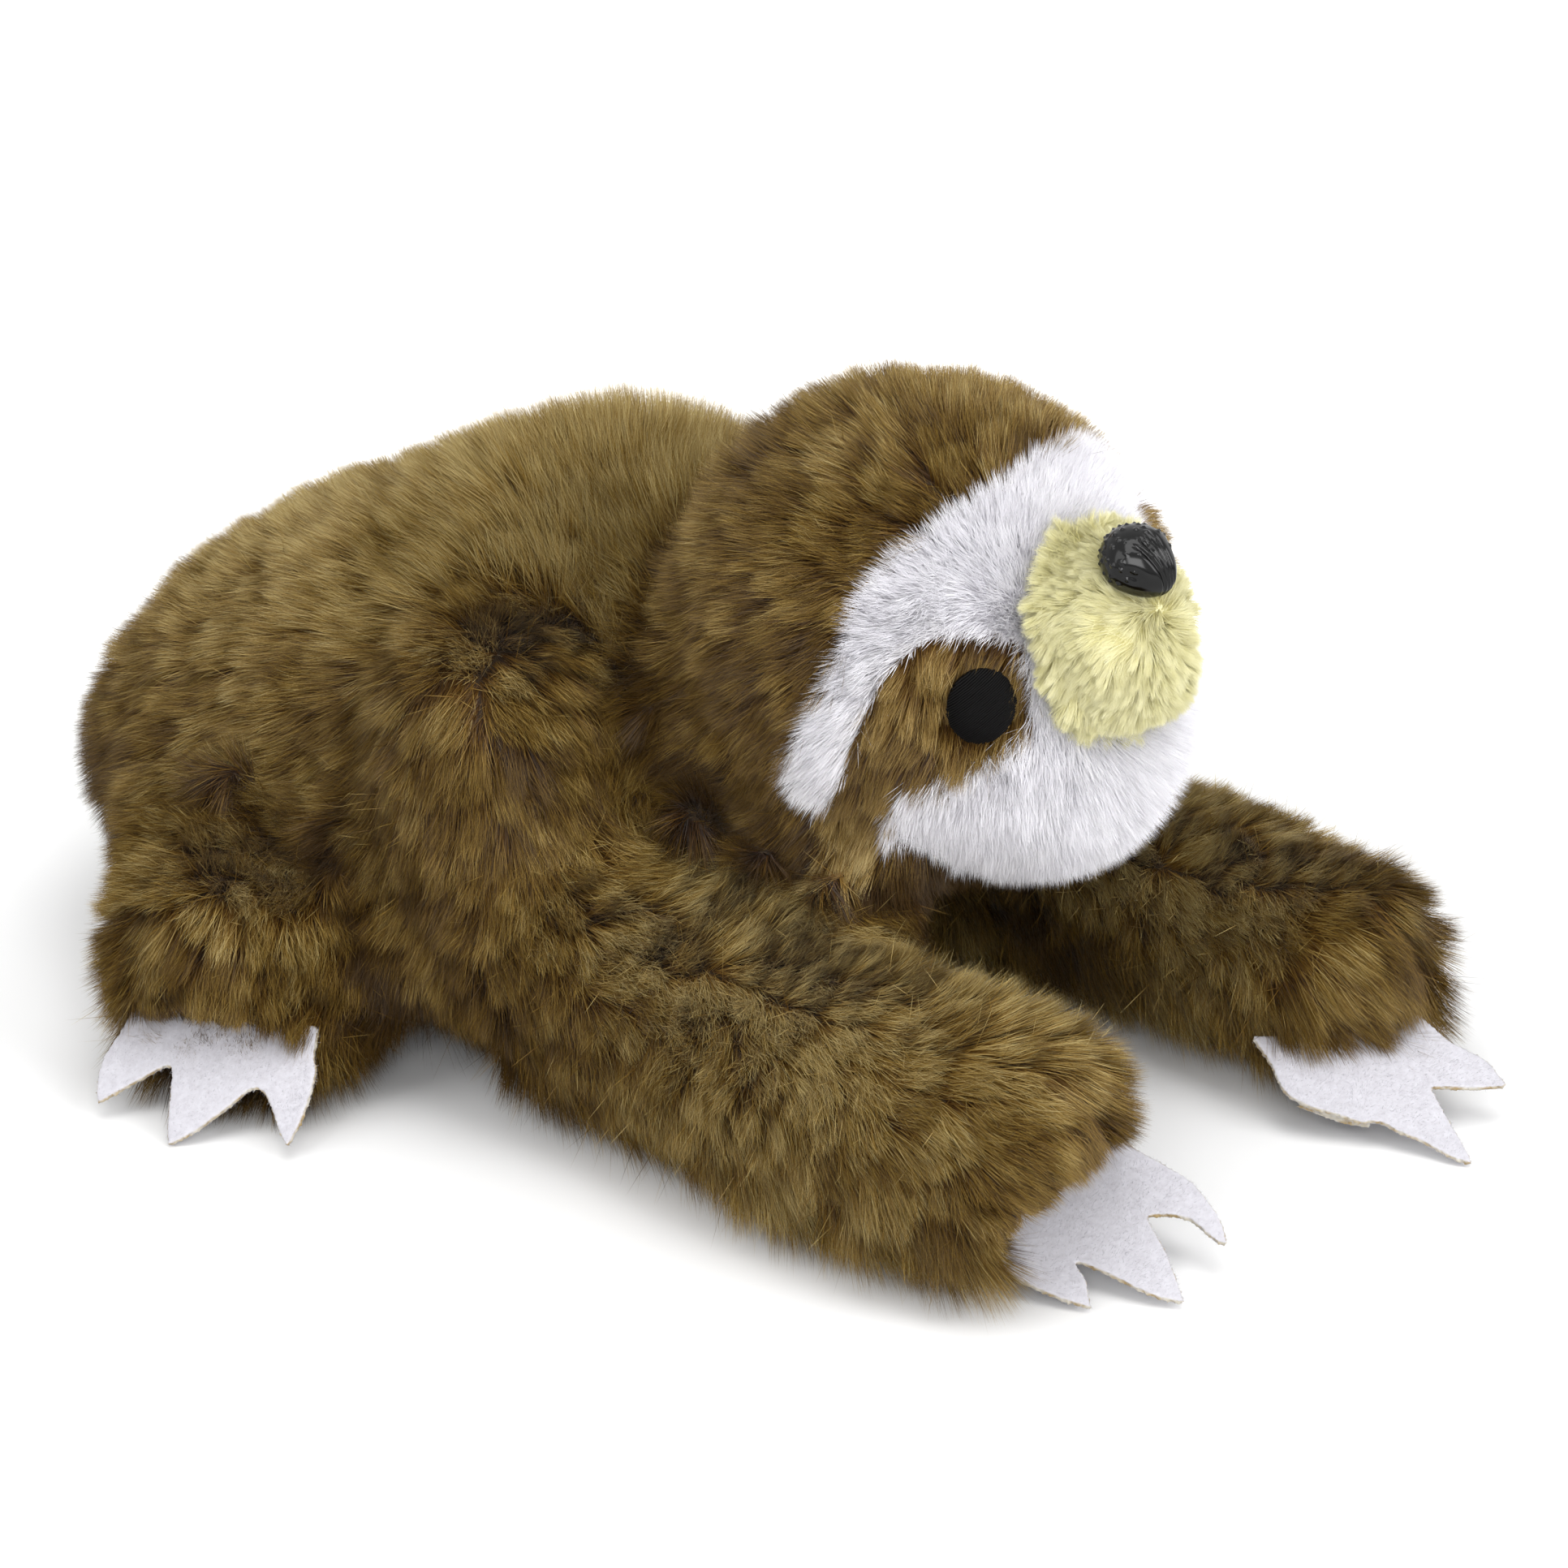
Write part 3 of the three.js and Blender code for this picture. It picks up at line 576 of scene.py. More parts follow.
def pile_tree():
    """Sows strands over a cloth, which says how in its attributes.

    Here is above 0 inside the panel. Thick, long and high are the shares of the strands, of their
    length and of their rise. Tone is added to the shade. Up and comb are directions.
    """
    tree, given = new_tree("sewn pile", PILE_INPUTS, "Pile")
    node = partial(add, tree)
    place = node("GeometryNodeInputPosition")
    stored = {
        name: node("GeometryNodeInputNamedAttribute", {"Name": name}, data_type=kind)
        for kind, names in (
            ("FLOAT", ("here", "thick", "long", "high", "tone", "cell")),
            ("FLOAT_VECTOR", ("up", "comb", "strand_place")),
        )
        for name in names
    }
    chance = {
        name: node(RANDOM, {"Min": low, "Max": high, "Seed": seed}, data_type="FLOAT")
        for name, low, high, seed in (
            ("edge", -0.0006, 0.0006, 11),
            ("length", 0.7, 1.1, 31),
            ("pull", 0.6, 1.0, 41),
            ("width", 0.7, 1.3, 51),
            ("shade", -0.5, 0.5, 61),
            ("loose", 0.0, 1.0, 81),
        )
    }
    wild = {"Min": (-1.0, -1.0, -1.0), "Max": (1.0, 1.0, 1.0), "Seed": 21}
    wild = node(RANDOM, wild, data_type="FLOAT_VECTOR")
    drift = {}  # vectors from -0.5 to 0.5 that vary smoothly from place to place
    for name, scale, seed in (("waver", 55.0, 1.7), ("crimp", 190.0, 7.3), ("shade", 90.0, 3.1)):
        noise = {"Vector": place, "W": seed, "Scale": scale, "Detail": 2.0}
        noise = node("ShaderNodeTexNoise", noise, noise_dimensions="4D")
        drift[name] = node(VECTOR, (first(noise, "Color"), (0.5, 0.5, 0.5)), operation="SUBTRACT")

    # The strands' roots, and the middles of the locks that they gather in
    lock_area = node(MATH, (given["Lock size"], given["Lock size"]), operation="MULTIPLY")
    per_area = given["Strands per square metre"]
    roots, locks = (
        node(
            "GeometryNodeDistributePointsOnFaces",
            {"Mesh": given["Cloth"], "Density": density, "Seed": seed},
            distribute_method="RANDOM",
        )
        for density, seed in (
            (node(MATH, (per_area, stored["thick"]), operation="MULTIPLY"), given["Seed"]),
            (
                node(MATH, (1.0, lock_area), operation="DIVIDE"),
                node(MATH, (given["Seed"], 50.0), operation="ADD"),
            ),
        )
    )
    edge = node(MATH, (stored["here"], chance["edge"]), operation="ADD")
    outside = node(MATH, (edge, 0.0), operation="LESS_THAN")
    roots = {"Geometry": roots, "Selection": outside}
    roots = node("GeometryNodeDeleteGeometry", roots, domain="POINT")

    # The way each strand and its lock point
    rise = node(MATH, (given["Rise"], stored["high"]), operation="MULTIPLY")
    loose = node(MATH, (chance["loose"], 0.96), operation="GREATER_THAN")
    stray = node(MATH, (loose, 1.5, 1.0), operation="MULTIPLY_ADD")
    stray = node(MATH, (given["Stray"], stray), operation="MULTIPLY")
    flat, high, waver, crimp, stray = (
        node(VECTOR, {"Vector": vector, "Scale": scale}, operation="SCALE")
        for vector, scale in (
            (stored["comb"], node(MATH, (1.0, rise), operation="SUBTRACT")),
            (stored["up"], rise),
            (drift["waver"], given["Waver"]),
            (drift["crimp"], given["Crimp"]),
            (wild, stray),
        )
    )
    combed = node(VECTOR, (flat, high), operation="ADD")
    bent = node(VECTOR, (waver, crimp), operation="ADD")
    heading = node(VECTOR, (combed, bent), operation="ADD")
    lock_heading = node(VECTOR, (heading,), operation="NORMALIZE")
    heading = node(VECTOR, (heading, stray), operation="ADD")
    heading = node(VECTOR, (heading,), operation="NORMALIZE")

    # Its tip, pulled towards its lock's and kept above the floor
    length = node(MATH, (given["Length"], stored["long"]), operation="MULTIPLY")
    own_length = node(MATH, (length, chance["length"]), operation="MULTIPLY")
    own_tip, lock_tip = (
        node(VECTOR, {"Vector": way, "Scale": far}, operation="SCALE")
        for way, far in ((heading, own_length), (lock_heading, length))
    )
    own_tip, lock_tip = (node(VECTOR, (place, tip), operation="ADD") for tip in (own_tip, lock_tip))
    nearest = {"Geometry": locks, "Sample Position": place}
    nearest = node("GeometryNodeSampleNearest", nearest, domain="POINT")
    lock_tip = node(
        "GeometryNodeSampleIndex",
        {"Geometry": locks, "Value": lock_tip, "Index": nearest},
        data_type="FLOAT_VECTOR",
        domain="POINT",
    )
    pull = node(MATH, (loose, -0.6, chance["pull"]), operation="MULTIPLY_ADD")
    pull = node(MATH, (given["Lock pull"], pull), operation="MULTIPLY")
    tip = node("ShaderNodeMix", {"Factor": pull, "A": own_tip, "B": lock_tip}, data_type="VECTOR")
    tip = node(VECTOR, (tip, (-9.0, -9.0, 0.0006)), operation="MAXIMUM")
    reach = node(VECTOR, (tip, place), operation="SUBTRACT")
    far = node(VECTOR, {"Vector": reach}, operation="LENGTH")
    longest = node(MATH, (length, 1.15), operation="MULTIPLY")
    far = node(MATH, (first(far, "Value"), longest), operation="MINIMUM")

    # One blade from root to tip, its flat side to the light but for some turn of its own
    ahead = node(VECTOR, (reach,), operation="NORMALIZE")
    across = node(VECTOR, (stored["up"], ahead), operation="CROSS_PRODUCT")
    twist = node(VECTOR, (wild, (0.7, 0.7, 0.7)), operation="MULTIPLY")
    across = node(VECTOR, (across, twist), operation="ADD")
    turned = node("FunctionNodeAlignRotationToVector", {"Vector": reach}, axis="Z")
    turned = {"Rotation": turned, "Vector": across}
    turned = node("FunctionNodeAlignRotationToVector", turned, axis="X", pivot_axis="Z")
    width = node(MATH, (given["Width"], chance["width"]), operation="MULTIPLY")
    size = node("ShaderNodeCombineXYZ", (width, width, far))
    blade = node("GeometryNodeObjectInfo", {"Object": given["Strand"]}, transform_space="ORIGINAL")
    blade = first(blade, "Geometry")
    strands = {"Points": roots, "Instance": blade, "Rotation": turned, "Scale": size}
    strands = node("GeometryNodeInstanceOnPoints", strands)

    # Its tone: one column of the map, with the root below and the tip above
    shade = node("ShaderNodeSeparateXYZ", {"Vector": drift["shade"]})
    by_lock = {"Min": -0.5, "Max": 0.5, "ID": nearest, "Seed": 71}
    by_lock = node(RANDOM, by_lock, data_type="FLOAT")
    shade = node(MATH, (shade, given["Shade by place"], given["Shade"]), operation="MULTIPLY_ADD")
    for own, amount in ((chance["shade"], "Shade by strand"), (by_lock, "Shade by lock")):
        shade = node(MATH, (own, given[amount], shade), operation="MULTIPLY_ADD")
    for operation, value in (
        ("ADD", stored["tone"]),
        ("MAXIMUM", 0.0),
        ("MINIMUM", 1.0),
        ("MULTIPLY", TONES - 1.0),
        ("FLOOR", None),
        ("DIVIDE", float(TONES)),
    ):
        shade = node(MATH, (shade,) if value is None else (shade, value), operation=operation)
    strands = {"Geometry": strands, "Name": "cell", "Value": shade}
    strands = node("GeometryNodeStoreNamedAttribute", strands, data_type="FLOAT", domain="INSTANCE")
    strands = node("GeometryNodeRealizeInstances", {"Geometry": strands})
    spot = node("ShaderNodeSeparateXYZ", {"Vector": stored["strand_place"]})
    column = node(MATH, (stored["cell"], 0.1 / TONES), operation="ADD")
    column = node(MATH, (first(spot, "X"), 0.8 / TONES, column), operation="MULTIPLY_ADD")
    spot = node("ShaderNodeCombineXYZ", {"X": column, "Y": first(spot, "Y")})
    strands = {"Geometry": strands, "Name": "OFBake", "Value": spot}
    strands = node("GeometryNodeStoreNamedAttribute", strands, data_type="FLOAT2", domain="CORNER")
    strands = node("GeometryNodeSetMaterial", {"Geometry": strands, "Material": given["Material"]})
    node("NodeGroupOutput", {"Pile": strands})
    return tree


def grow(name, cloth_mesh, settings):
    """The strands that are sown on a cloth, as one plain mesh."""
    mesh = grown(show(name, cloth_mesh), sewn_pile, settings, name)
    for attribute in [a.name for a in mesh.attributes if not a.is_required and not a.is_internal]:
        if attribute not in ("OFBake", "material_index"):
            mesh.attributes.remove(mesh.attributes[attribute])
    return show(name, mesh)


# ---------------------------------------------------------------- materials


def material(name, values):
    """A new material, its nodes and its shader, with these values."""
    made = bpy.data.materials.new(name)
    made.use_nodes = True
    shader = made.node_tree.nodes["Principled BSDF"]
    for value, amount in values.items():
        shader.inputs[value].default_value = amount
    return made, made.node_tree, shader


def pile_material(name, tones, roots, rough, sheen):
    """Drawn polyester fibres, cut at the tip.

    Each strand has one tone from the dyed mix, and darkens to its root with painted shade, where little
    light comes.
    """
    values = {"Roughness": rough, "Specular IOR Level": 0.3}
    values.update({"Sheen Weight": sheen, "Sheen Roughness": 0.4})
    made, tree, shader = material(name, values)
    spot = add(tree, "ShaderNodeSeparateXYZ", {"Vector": add(tree, "ShaderNodeUVMap", uv_map="OFBake")})
    tone = add(tree, "ShaderNodeValToRGB", {"Fac": first(spot, "X")}, tones)
    # Painted shade: the strand darkens towards its root
    depth = add(tree, "ShaderNodeValToRGB", {"Fac": first(spot, "Y")}, roots)
    mixed = {"Factor": 1.0, "A": tone, "B": depth}
    mixed = add(tree, "ShaderNodeMix", mixed, data_type="RGBA", blend_type="MULTIPLY")
    tree.links.new(first(mixed), shader.inputs["Base Color"])
    return made


# Long fibres dyed in a mix of browns: a silky fur, its roots painted dark with shade and its tips left
# pale
brown_pile = pile_material(
    "brown polyester long pile",
    [(0.0, "#402c08"), (0.3, "#684f1b"), (0.6, "#8b7033"), (0.85, "#aa945a"), (1.0, "#c6b581")],
    [(0.0, "#84683a"), (0.3, "#b09a6c"), (0.7, "#f0eada"), (1.0, "#ffffff")],
    0.5,
    0.05,
)
# A more golden mix: the patches stand out from the crown, as silky as it
patch_pile = pile_material(
    "golden brown polyester pile",
    [(0.0, "#46310d"), (0.3, "#6f5624"), (0.6, "#8f763e"), (0.85, "#ad945c"), (1.0, "#c8b480")],
    [(0.0, "#84683a"), (0.35, "#b09a6c"), (0.75, "#f0eada"), (1.0, "#ffffff")],
    0.5,
    0.05,
)
# Undyed bright white fibres: soft, with hardly a shadow between them
white_pile = pile_material(
    "white polyester pile",
    [(0.0, "#e6e4e9"), (0.5, "#f4f3f7"), (1.0, "#fcfbfd")],
    [(0.0, "#f2f1f3"), (0.4, "#fbfbfb"), (1.0, "#ffffff")],
    0.6,
    0.1,
)
# Cream fibres, curled by heat: a dull, woolly nap
cream_pile = pile_material(
    "cream curly short pile",
    [(0.0, "#d4cfa0"), (0.5, "#e2deb4"), (1.0, "#eeebca")],
    [(0.0, "#dcd6ae"), (0.4, "#f2f0e0"), (1.0, "#ffffff")],
    0.6,
    0.1,
)


def plain_material(name, colour, rough, specular=0.5):
    """One colour all over."""
    values = {"Base Color": linear(colour), "Roughness": rough, "Specular IOR Level": specular}
    return material(name, values)[0]


# Knitted polyester that carries the pile: dull, its colour near the painted shade at the strands'
# roots, so the brown one is painted dark between the strands
brown_backing = plain_material("brown knitted backing", "#2e200c", 0.9)
patch_backing = plain_material("golden knitted backing", "#6a5228", 0.9)
white_backing = plain_material("white knitted backing", "#efedf1", 0.9)
cream_backing = plain_material("cream knitted backing", "#e2deae", 0.9)
# Rayon thread laid side by side: black with a faint gleam along the stitches
eye_thread = plain_material("black satin stitch thread", "#030202", 0.5, 0.09)
# ABS out of a polished mould: black with sharp small highlights on its pebbles
nose_plastic = plain_material("black moulded gloss plastic", "#040404", 0.14, 0.3)
# Polypropylene out of a plain mould: white and half dull, and hidden in the muzzle
washer_plastic = plain_material("white moulded plastic", "#d9d8d2", 0.5)
for held in frame["nodes"]["nose_washer"].material_slots:
    held.material = washer_plastic


def felt_material():
    """White pressed felt: matted fibres mottle its faces, and its cut edge shows a yellower inside."""
    made, tree, shader = material("white pressed felt", {"Roughness": 0.95, "Specular IOR Level": 0.1})
    spot = first(add(tree, "ShaderNodeTexCoord"), "Object")
    matted = {"Vector": spot, "Scale": 700.0, "Detail": 4.0, "Roughness": 0.7}
    matted = first(add(tree, "ShaderNodeTexNoise", matted), "Fac")
    blots = {"Vector": spot, "Scale": 350.0, "Detail": 2.0}
    blots = first(add(tree, "ShaderNodeTexNoise", blots), "Fac")
    face = add(tree, "ShaderNodeValToRGB", {"Fac": matted}, [(0.3, "#b6b4ba"), (0.7, "#c5c4ca")])
    inside = add(tree, "ShaderNodeValToRGB", {"Fac": blots}, [(0.4, "#c2bcae"), (0.62, "#a08c66")])
    cut = first(add(tree, "ShaderNodeAttribute", attribute_name="cut"), "Fac")
    mixed = add(tree, "ShaderNodeMix", {"Factor": cut, "A": face, "B": inside}, data_type="RGBA")
    tree.links.new(first(mixed), shader.inputs["Base Color"])
    return made


claw_felt = felt_material()
# Fibres that stand off the felt: a thin pale fuzz along its outline
felt_fibre = pile_material(
    "loose fibres of the white felt",
    [(0.0, "#b2b0b7"), (1.0, "#cbc9d0")],
    [(0.0, "#e8e8e8"), (1.0, "#ffffff")],
    0.8,
    0.0,
)

# ---------------------------------------------------------------- make the pile

sewn_pile = pile_tree()
strand = strand_shape()


def even(points):
    return np.ones(len(points))


def none(points):
    return np.zeros(len(points))


def far_off(points):
    return np.full(len(points), 99.0)


def eye_line(side):
    """The middle of an eye and the direction it looks in."""
    middle = corners(frame["nodes"][f"eye_{side}"].data).mean(0)
    return middle, unit(middle - HEAD_CENTRE)


def clear_of_eyes(points):
    """How far outside the eyes' embroidery each point lies."""
    found = []
    for side in ("left", "right"):
        middle, line = eye_line(side)
        across = points - middle
        across -= (across @ line)[:, None] * line
        found.append(np.linalg.norm(across, axis=1) - EYE_RADIUS - 0.4)
    return np.minimum(*found)


def clear_of_nose(points):
    """How far outside the nose's foot each point lies."""
    local = in_head(points) - MUZZLE_MIDDLE
    line = np.array([0, -math.cos(math.radians(NOSE_RAISE)), math.sin(math.radians(NOSE_RAISE))])
    along = local @ line
    return np.where(along > 0, np.linalg.norm(local - np.outer(along, line), axis=1) - 5.0, 99.0)


FACE_SLOTS = ("white_plush", "patch_plush")  # whose pile stays off the skin that bridges a seam


def owner_of(node):
    return frame["nodes"][node]["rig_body"]


def sow(mesh, depth, looks):
    """The pile of each panel on one stuffed form, and the panel that each of its faces belongs to."""
    nodes = list(looks)
    points, normals = corners(mesh), unit(relaxed(mesh, outward(mesh), 8))
    middle, tips = points + normals * depth * 0.5, points + normals * depth
    inside = np.array([depth_in(surface([node]), middle) for node in nodes])
    crease = relaxed(mesh, ramped(-inside.max(0), 0.3, 2.8), 2)[:, 0]
    on_face = np.array([looks[node]["slot"] in FACE_SLOTS for node in nodes])
    if on_face.any():
        off_face = inside[on_face].max(0) < -1.5
        inside[on_face] -= 12.0 * off_face
    for i, node in enumerate(nodes):
        inside[i] += looks[node].get("spread", none)(points)
    panel = np.argmax(inside, axis=0)
    flows = [looks[node]["comb"](points, normals) for node in nodes]
    brown_flow = np.array(flows)[panel, np.arange(len(points))] * ~on_face[panel][:, None]
    brown_flow = along_surface(relaxed(mesh, brown_flow, COMB_ROUNDS), normals)
    clear, away = np.ones(len(points)), np.zeros_like(points)
    for felt in FELTS.values():
        across, along, above = felt.seen_at(tips)
        seam = np.array(sorted(felt.pattern["seam"]))
        behind = np.clip(np.interp(across, *seam.T) - along, 0, None)
        past = np.clip(np.maximum(seam[0, 0] - across, across - seam[-1, 0]), 0, None)
        beyond = np.clip(np.linalg.norm(points - felt.root, axis=1) - 35, 0, None)
        near = np.hypot(behind, past) + 20 * (above < -6) + beyond
        clear = np.minimum(clear, np.clip((near + 2) / 9, 0.35, 1))
        close = near < 30
        away[close] = along_surface(np.tile(-felt.ahead, (close.sum(), 1)), normals[close])
    clear = relaxed(mesh, clear, 1)[:, 0]
    under = ramped(tips[:, 2], 3, 11)
    for i, node in enumerate(nodes):
        look = looks[node]
        rest = np.delete(inside, i, axis=0)
        margin = inside[i] - rest.max(axis=0) if len(rest) else np.full(len(points), 9.0)
        here = np.minimum(margin * 0.5, look.get("clear_of", far_off)(points))
        thick = np.where(here > -3, 1.0, 0.0) * (0.35 + 0.65 * under) * np.clip(clear * 2, 0.2, 1)
        comb = brown_flow if look["slot"] == "brown_plush" else flows[i]
        comb = unit(comb * clear[:, None] + away * (1 - clear[:, None]) + 1e-6)
        ground = mesh.copy()
        ground.materials.clear()
        keep(ground, "here", "FLOAT", here * MM)
        keep(ground, "thick", "FLOAT", thick)
        keep(ground, "long", "FLOAT", (0.8 + 0.2 * under) * clear * look.get("growth", even)(points))
        keep(ground, "high", "FLOAT", (0.6 + 0.4 * clear) * look.get("stand", even)(points))
        # Painted shade: the brown pile is darkened over each bridged crease, where the crease's shadow
        # falls
        dark = CREASE_SHADE * crease * (look["slot"] == "brown_plush")
        keep(ground, "tone", "FLOAT", look.get("tone", painted_light_and_shade)(points, normals) - dark)
        keep(ground, "up", "FLOAT_VECTOR", normals)
        keep(ground, "comb", "FLOAT_VECTOR", comb)
        settings = {
            "Strand": strand,
            "Material": look["pile"],
            "Seed": 3 + 7 * i,
            "Length": 11.0 * MM,
            "Width": 0.2 * MM,
        }
        settings.update(look["settings"])
        pile = grow(node + "_pile", ground, settings)
        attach(pile, owner_of(node))
        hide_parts(node)
    return [nodes[np.bincount(panel[list(f.vertices)]).argmax()] for f in mesh.polygons]


def back(name, body, form, skin, belongs, looks, stuffing):
    """The backing cloth of one body: its own closed form, and its share of the skin over the seams."""
    nodes = [node for node in looks if owner_of(node) == body]
    whole = bmesh.new()
    if skin:
        whole.from_mesh(skin)
        whole.faces.ensure_lookup_table()
        others = [f for f in whole.faces if belongs[f.index] not in nodes]
        for f in whole.faces:
            f.material_index = nodes.index(belongs[f.index]) if belongs[f.index] in nodes else 0
        bmesh.ops.delete(whole, geom=others, context="FACES")
        lining = bmesh.ops.extrude_face_region(whole, geom=whole.faces[:], use_keep_orig=True)["geom"]
        for v in [v for v in lining if isinstance(v, bmesh.types.BMVert)]:
            v.co -= v.normal * CLOTH_THICK * MM
        bmesh.ops.recalc_face_normals(whole, faces=whole.faces)
    whole.from_mesh(form)
    mesh = meshed(whole, name)
    smooth(mesh)
    for node in nodes:
        mesh.materials.append(looks[node]["backing"])
    piece = show(name, mesh)
    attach(piece, body)
    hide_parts(stuffing)


def hanging(points):
    """The pile hangs longer low on the sides, down to the floor."""
    return 1 + 0.9 * ramped(points[:, 2], 26, 12)


def at_neck(points):
    """From 0 over the back to 1 where it meets the neck."""
    return ramped(points[:, 2], 75, 100) * ramped(points[:, 1], 10, -40)


def at_flank(points):
    """From 0 to 1 low on the torso, between the leg and the arm."""
    between = ramped(np.abs(points[:, 1] + 18), 36, 24)
    low = ramped(points[:, 2], 44, 29)
    return between * low * ramped(np.abs(points[:, 0]), 15, 30)


def belly_growth(points):
    """Between the leg and the arm the pile hangs down to the floor."""
    return hanging(points) + 1.2 * at_flank(points)


def neck_growth(points):
    """The pile stands longest where the back meets the neck."""
    return belly_growth(points) + 0.6 * at_neck(points)


def neck_stand(points):
    return 1 + 0.6 * at_neck(points)


def left_arm_growth(points):
    """Shorter over the forearm and longer at the wrist."""
    share = on_route(points, ARM_ROUTES["left"])[1]
    top = ramped(points[:, 2], 30, 40)
    wrist = np.clip((share - 0.8) / 0.15, 0, 1)
    return hanging(points) * (1 - 0.25 * top * (1 - wrist)) + 0.3 * wrist


def crown_growth(points):
    """Long at the back of the crown, short at its front edge."""
    local = in_head(points)
    high = np.clip(local[:, 2] / 40, 0, 1)
    return 1 + high * np.interp(local[:, 1], [-35, 0, 25], [-0.25, 0.0, 0.25])


def lower_rim(points):
    """From 0 at the forehead to 1 at the cheeks."""
    return ramped(in_head(points)[:, 2], 10, -25)


def rim_spread(points):
    return 3.0 - 6.0 * lower_rim(points)


def mask_spread(points):
    return -3.0 + 6.0 * lower_rim(points)


def at_chin(points):
    """From 0 to 1 at the front of the chin."""
    local = in_head(points)
    front = ramped(local[:, 1], -18, -38) * ramped(local[:, 2], -5, -25)
    return front * ramped(np.linalg.norm(local, axis=1), 62, 56)


def chin_growth(points):
    return 1 + 0.35 * at_chin(points)


def under_head(points):
    """From 0 to 1 in the gap between the head and the arms."""
    across = np.linalg.norm(points[:, :2] - HEAD_CENTRE[:2], axis=1)
    low = ramped(points[:, 2], 68, 60) * ramped(points[:, 1], -58, -68)
    return low * ramped(across, 50, 42)


def patch_spread(points):
    """The patch's upper, outer edge lies further out than its lower one."""
    local = in_head(points)
    away = np.degrees(np.arccos(np.clip(-unit(local)[:, 1], -1, 1)))
    round_ = np.arctan2(local[:, 2], np.abs(local[:, 0]))
    left, up = away * np.cos(round_), away * np.sin(round_)
    middle = 33 - 14 * ramped(-up, 20, 47)
    outer = np.clip((0.8 * left + 0.75 * up - middle) / 8 + 0.5, 0, 1)
    cheek = 0.5 + 8.5 * ramped(left, 5, 17) * outer
    return -2.0 + 4.0 * outer + cheek * lower_rim(points)


def painted_light_and_shade(points, normals):
    """Painted light and shade: the tips that face up are painted paler, as if lit from above, and those
    under the chin painted dark, as the shade in the gap below the head.
    """
    top = np.clip(normals[:, 2], 0, 1)
    return 0.3 * top - 0.08 - 0.8 * under_head(points) * np.clip(1 - 2.5 * top, 0, 1)


def back_tone(points, normals):
    rump = ramped(points[:, 1], 10, 40) * ramped(points[:, 2], 90, 60)
    # Painted light: paler still where the back faces up; darker towards the rump
    return painted_light_and_shade(points, normals) + 0.42 * np.clip(normals[:, 2], 0, 1) - 0.25 - 0.15 * rump


def limb_tone(points, normals):
    """Paler on the legs and the forearms, most of all on the left one: painted light, strongest where
    the head shades the left forearm.
    """
    forward = [-1, 10, 60, 90, 130, 165, 200]
    right = np.interp(-points[:, 1], forward, [-0.04, -0.04, -0.2, 0.08, 0.28, 0.08, -0.18])
    left = np.interp(-points[:, 1], forward, [-0.04, -0.04, -0.2, 0.2, 0.46, 0.2, -0.14])
    return painted_light_and_shade(points, normals) + np.where(points[:, 0] > 0, left, right)


def patch_tone(points, normals):
    """Paler at the patch's low outer tip."""
    local = in_head(points)
    tip = ramped(local[:, 2], -12, -24) * ramped(np.abs(local[:, 0]), 18, 28)
    return painted_light_and_shade(points, normals) + 0.6 * tip


def crown_tone(points, normals):
    return painted_light_and_shade(points, normals) - 0.22


def no_tone(points, normals):
    return np.zeros(len(points))


BACK = {"Strands per square metre": 7.6e6}
LONG = {"Strands per square metre": 9.0e6}
HIDDEN = {"Strands per square metre": 4.0e6}
brown = dict(backing=brown_backing, pile=brown_pile, slot="brown_plush", growth=hanging, settings=LONG)
white = dict(backing=white_backing, pile=white_pile, slot="white_plush", tone=no_tone)
patch = dict(
    backing=patch_backing,
    pile=patch_pile,
    slot="patch_plush",
    comb=comb_patch,
    spread=patch_spread,
    tone=patch_tone,
    clear_of=clear_of_eyes,
    settings={
        "Strands per square metre": 1.1e7,
        "Length": 9.0 * MM,
        "Rise": 0.45,
        "Waver": 0.9,
        "Crimp": 0.9,
        "Stray": 0.3,
    },
)
torso = dict(brown, comb=comb_torso)
back_look = dict(torso, growth=neck_growth, stand=neck_stand, tone=back_tone, settings=BACK)
looks = {
    "back_panel_left": back_look,
    "back_panel_right": back_look,
    "belly_panel": dict(torso, growth=belly_growth, settings=HIDDEN),
    "head_back": dict(brown, comb=comb_head, growth=crown_growth, spread=rim_spread, tone=crown_tone),
    "face_mask": dict(
        white,
        comb=comb_face,
        spread=mask_spread,
        growth=chin_growth,
        settings={
            "Strands per square metre": 1.9e7,
            "Length": 7.6 * MM,
            "Rise": 0.7,
            "Waver": 0.8,
            "Crimp": 0.8,
            "Stray": 0.3,
            "Lock pull": 0.35,
            "Lock size": 0.003,
        },
    ),
    "eye_patch_left": patch,
    "eye_patch_right": patch,
}
for side in ("left", "right"):
    arm_look = dict(
        brown,
        comb=lambda points, normals, side=side: comb_limb(points, normals, ARM_ROUTES[side]),
        growth=left_arm_growth if side == "left" else hanging,
        tone=limb_tone,
        settings={**LONG, "Rise": 0.42, "Crimp": 1.0},
    )
    leg_look = dict(
        brown,
        comb=lambda points, normals, side=side: comb_limb(points, normals, LEG_ROUTES[side]),
        tone=limb_tone,
    )
    for half in ("upper", "lower"):
        looks[f"arm_{side}_{half}"] = arm_look
        looks[f"leg_{side}_{half}"] = leg_look

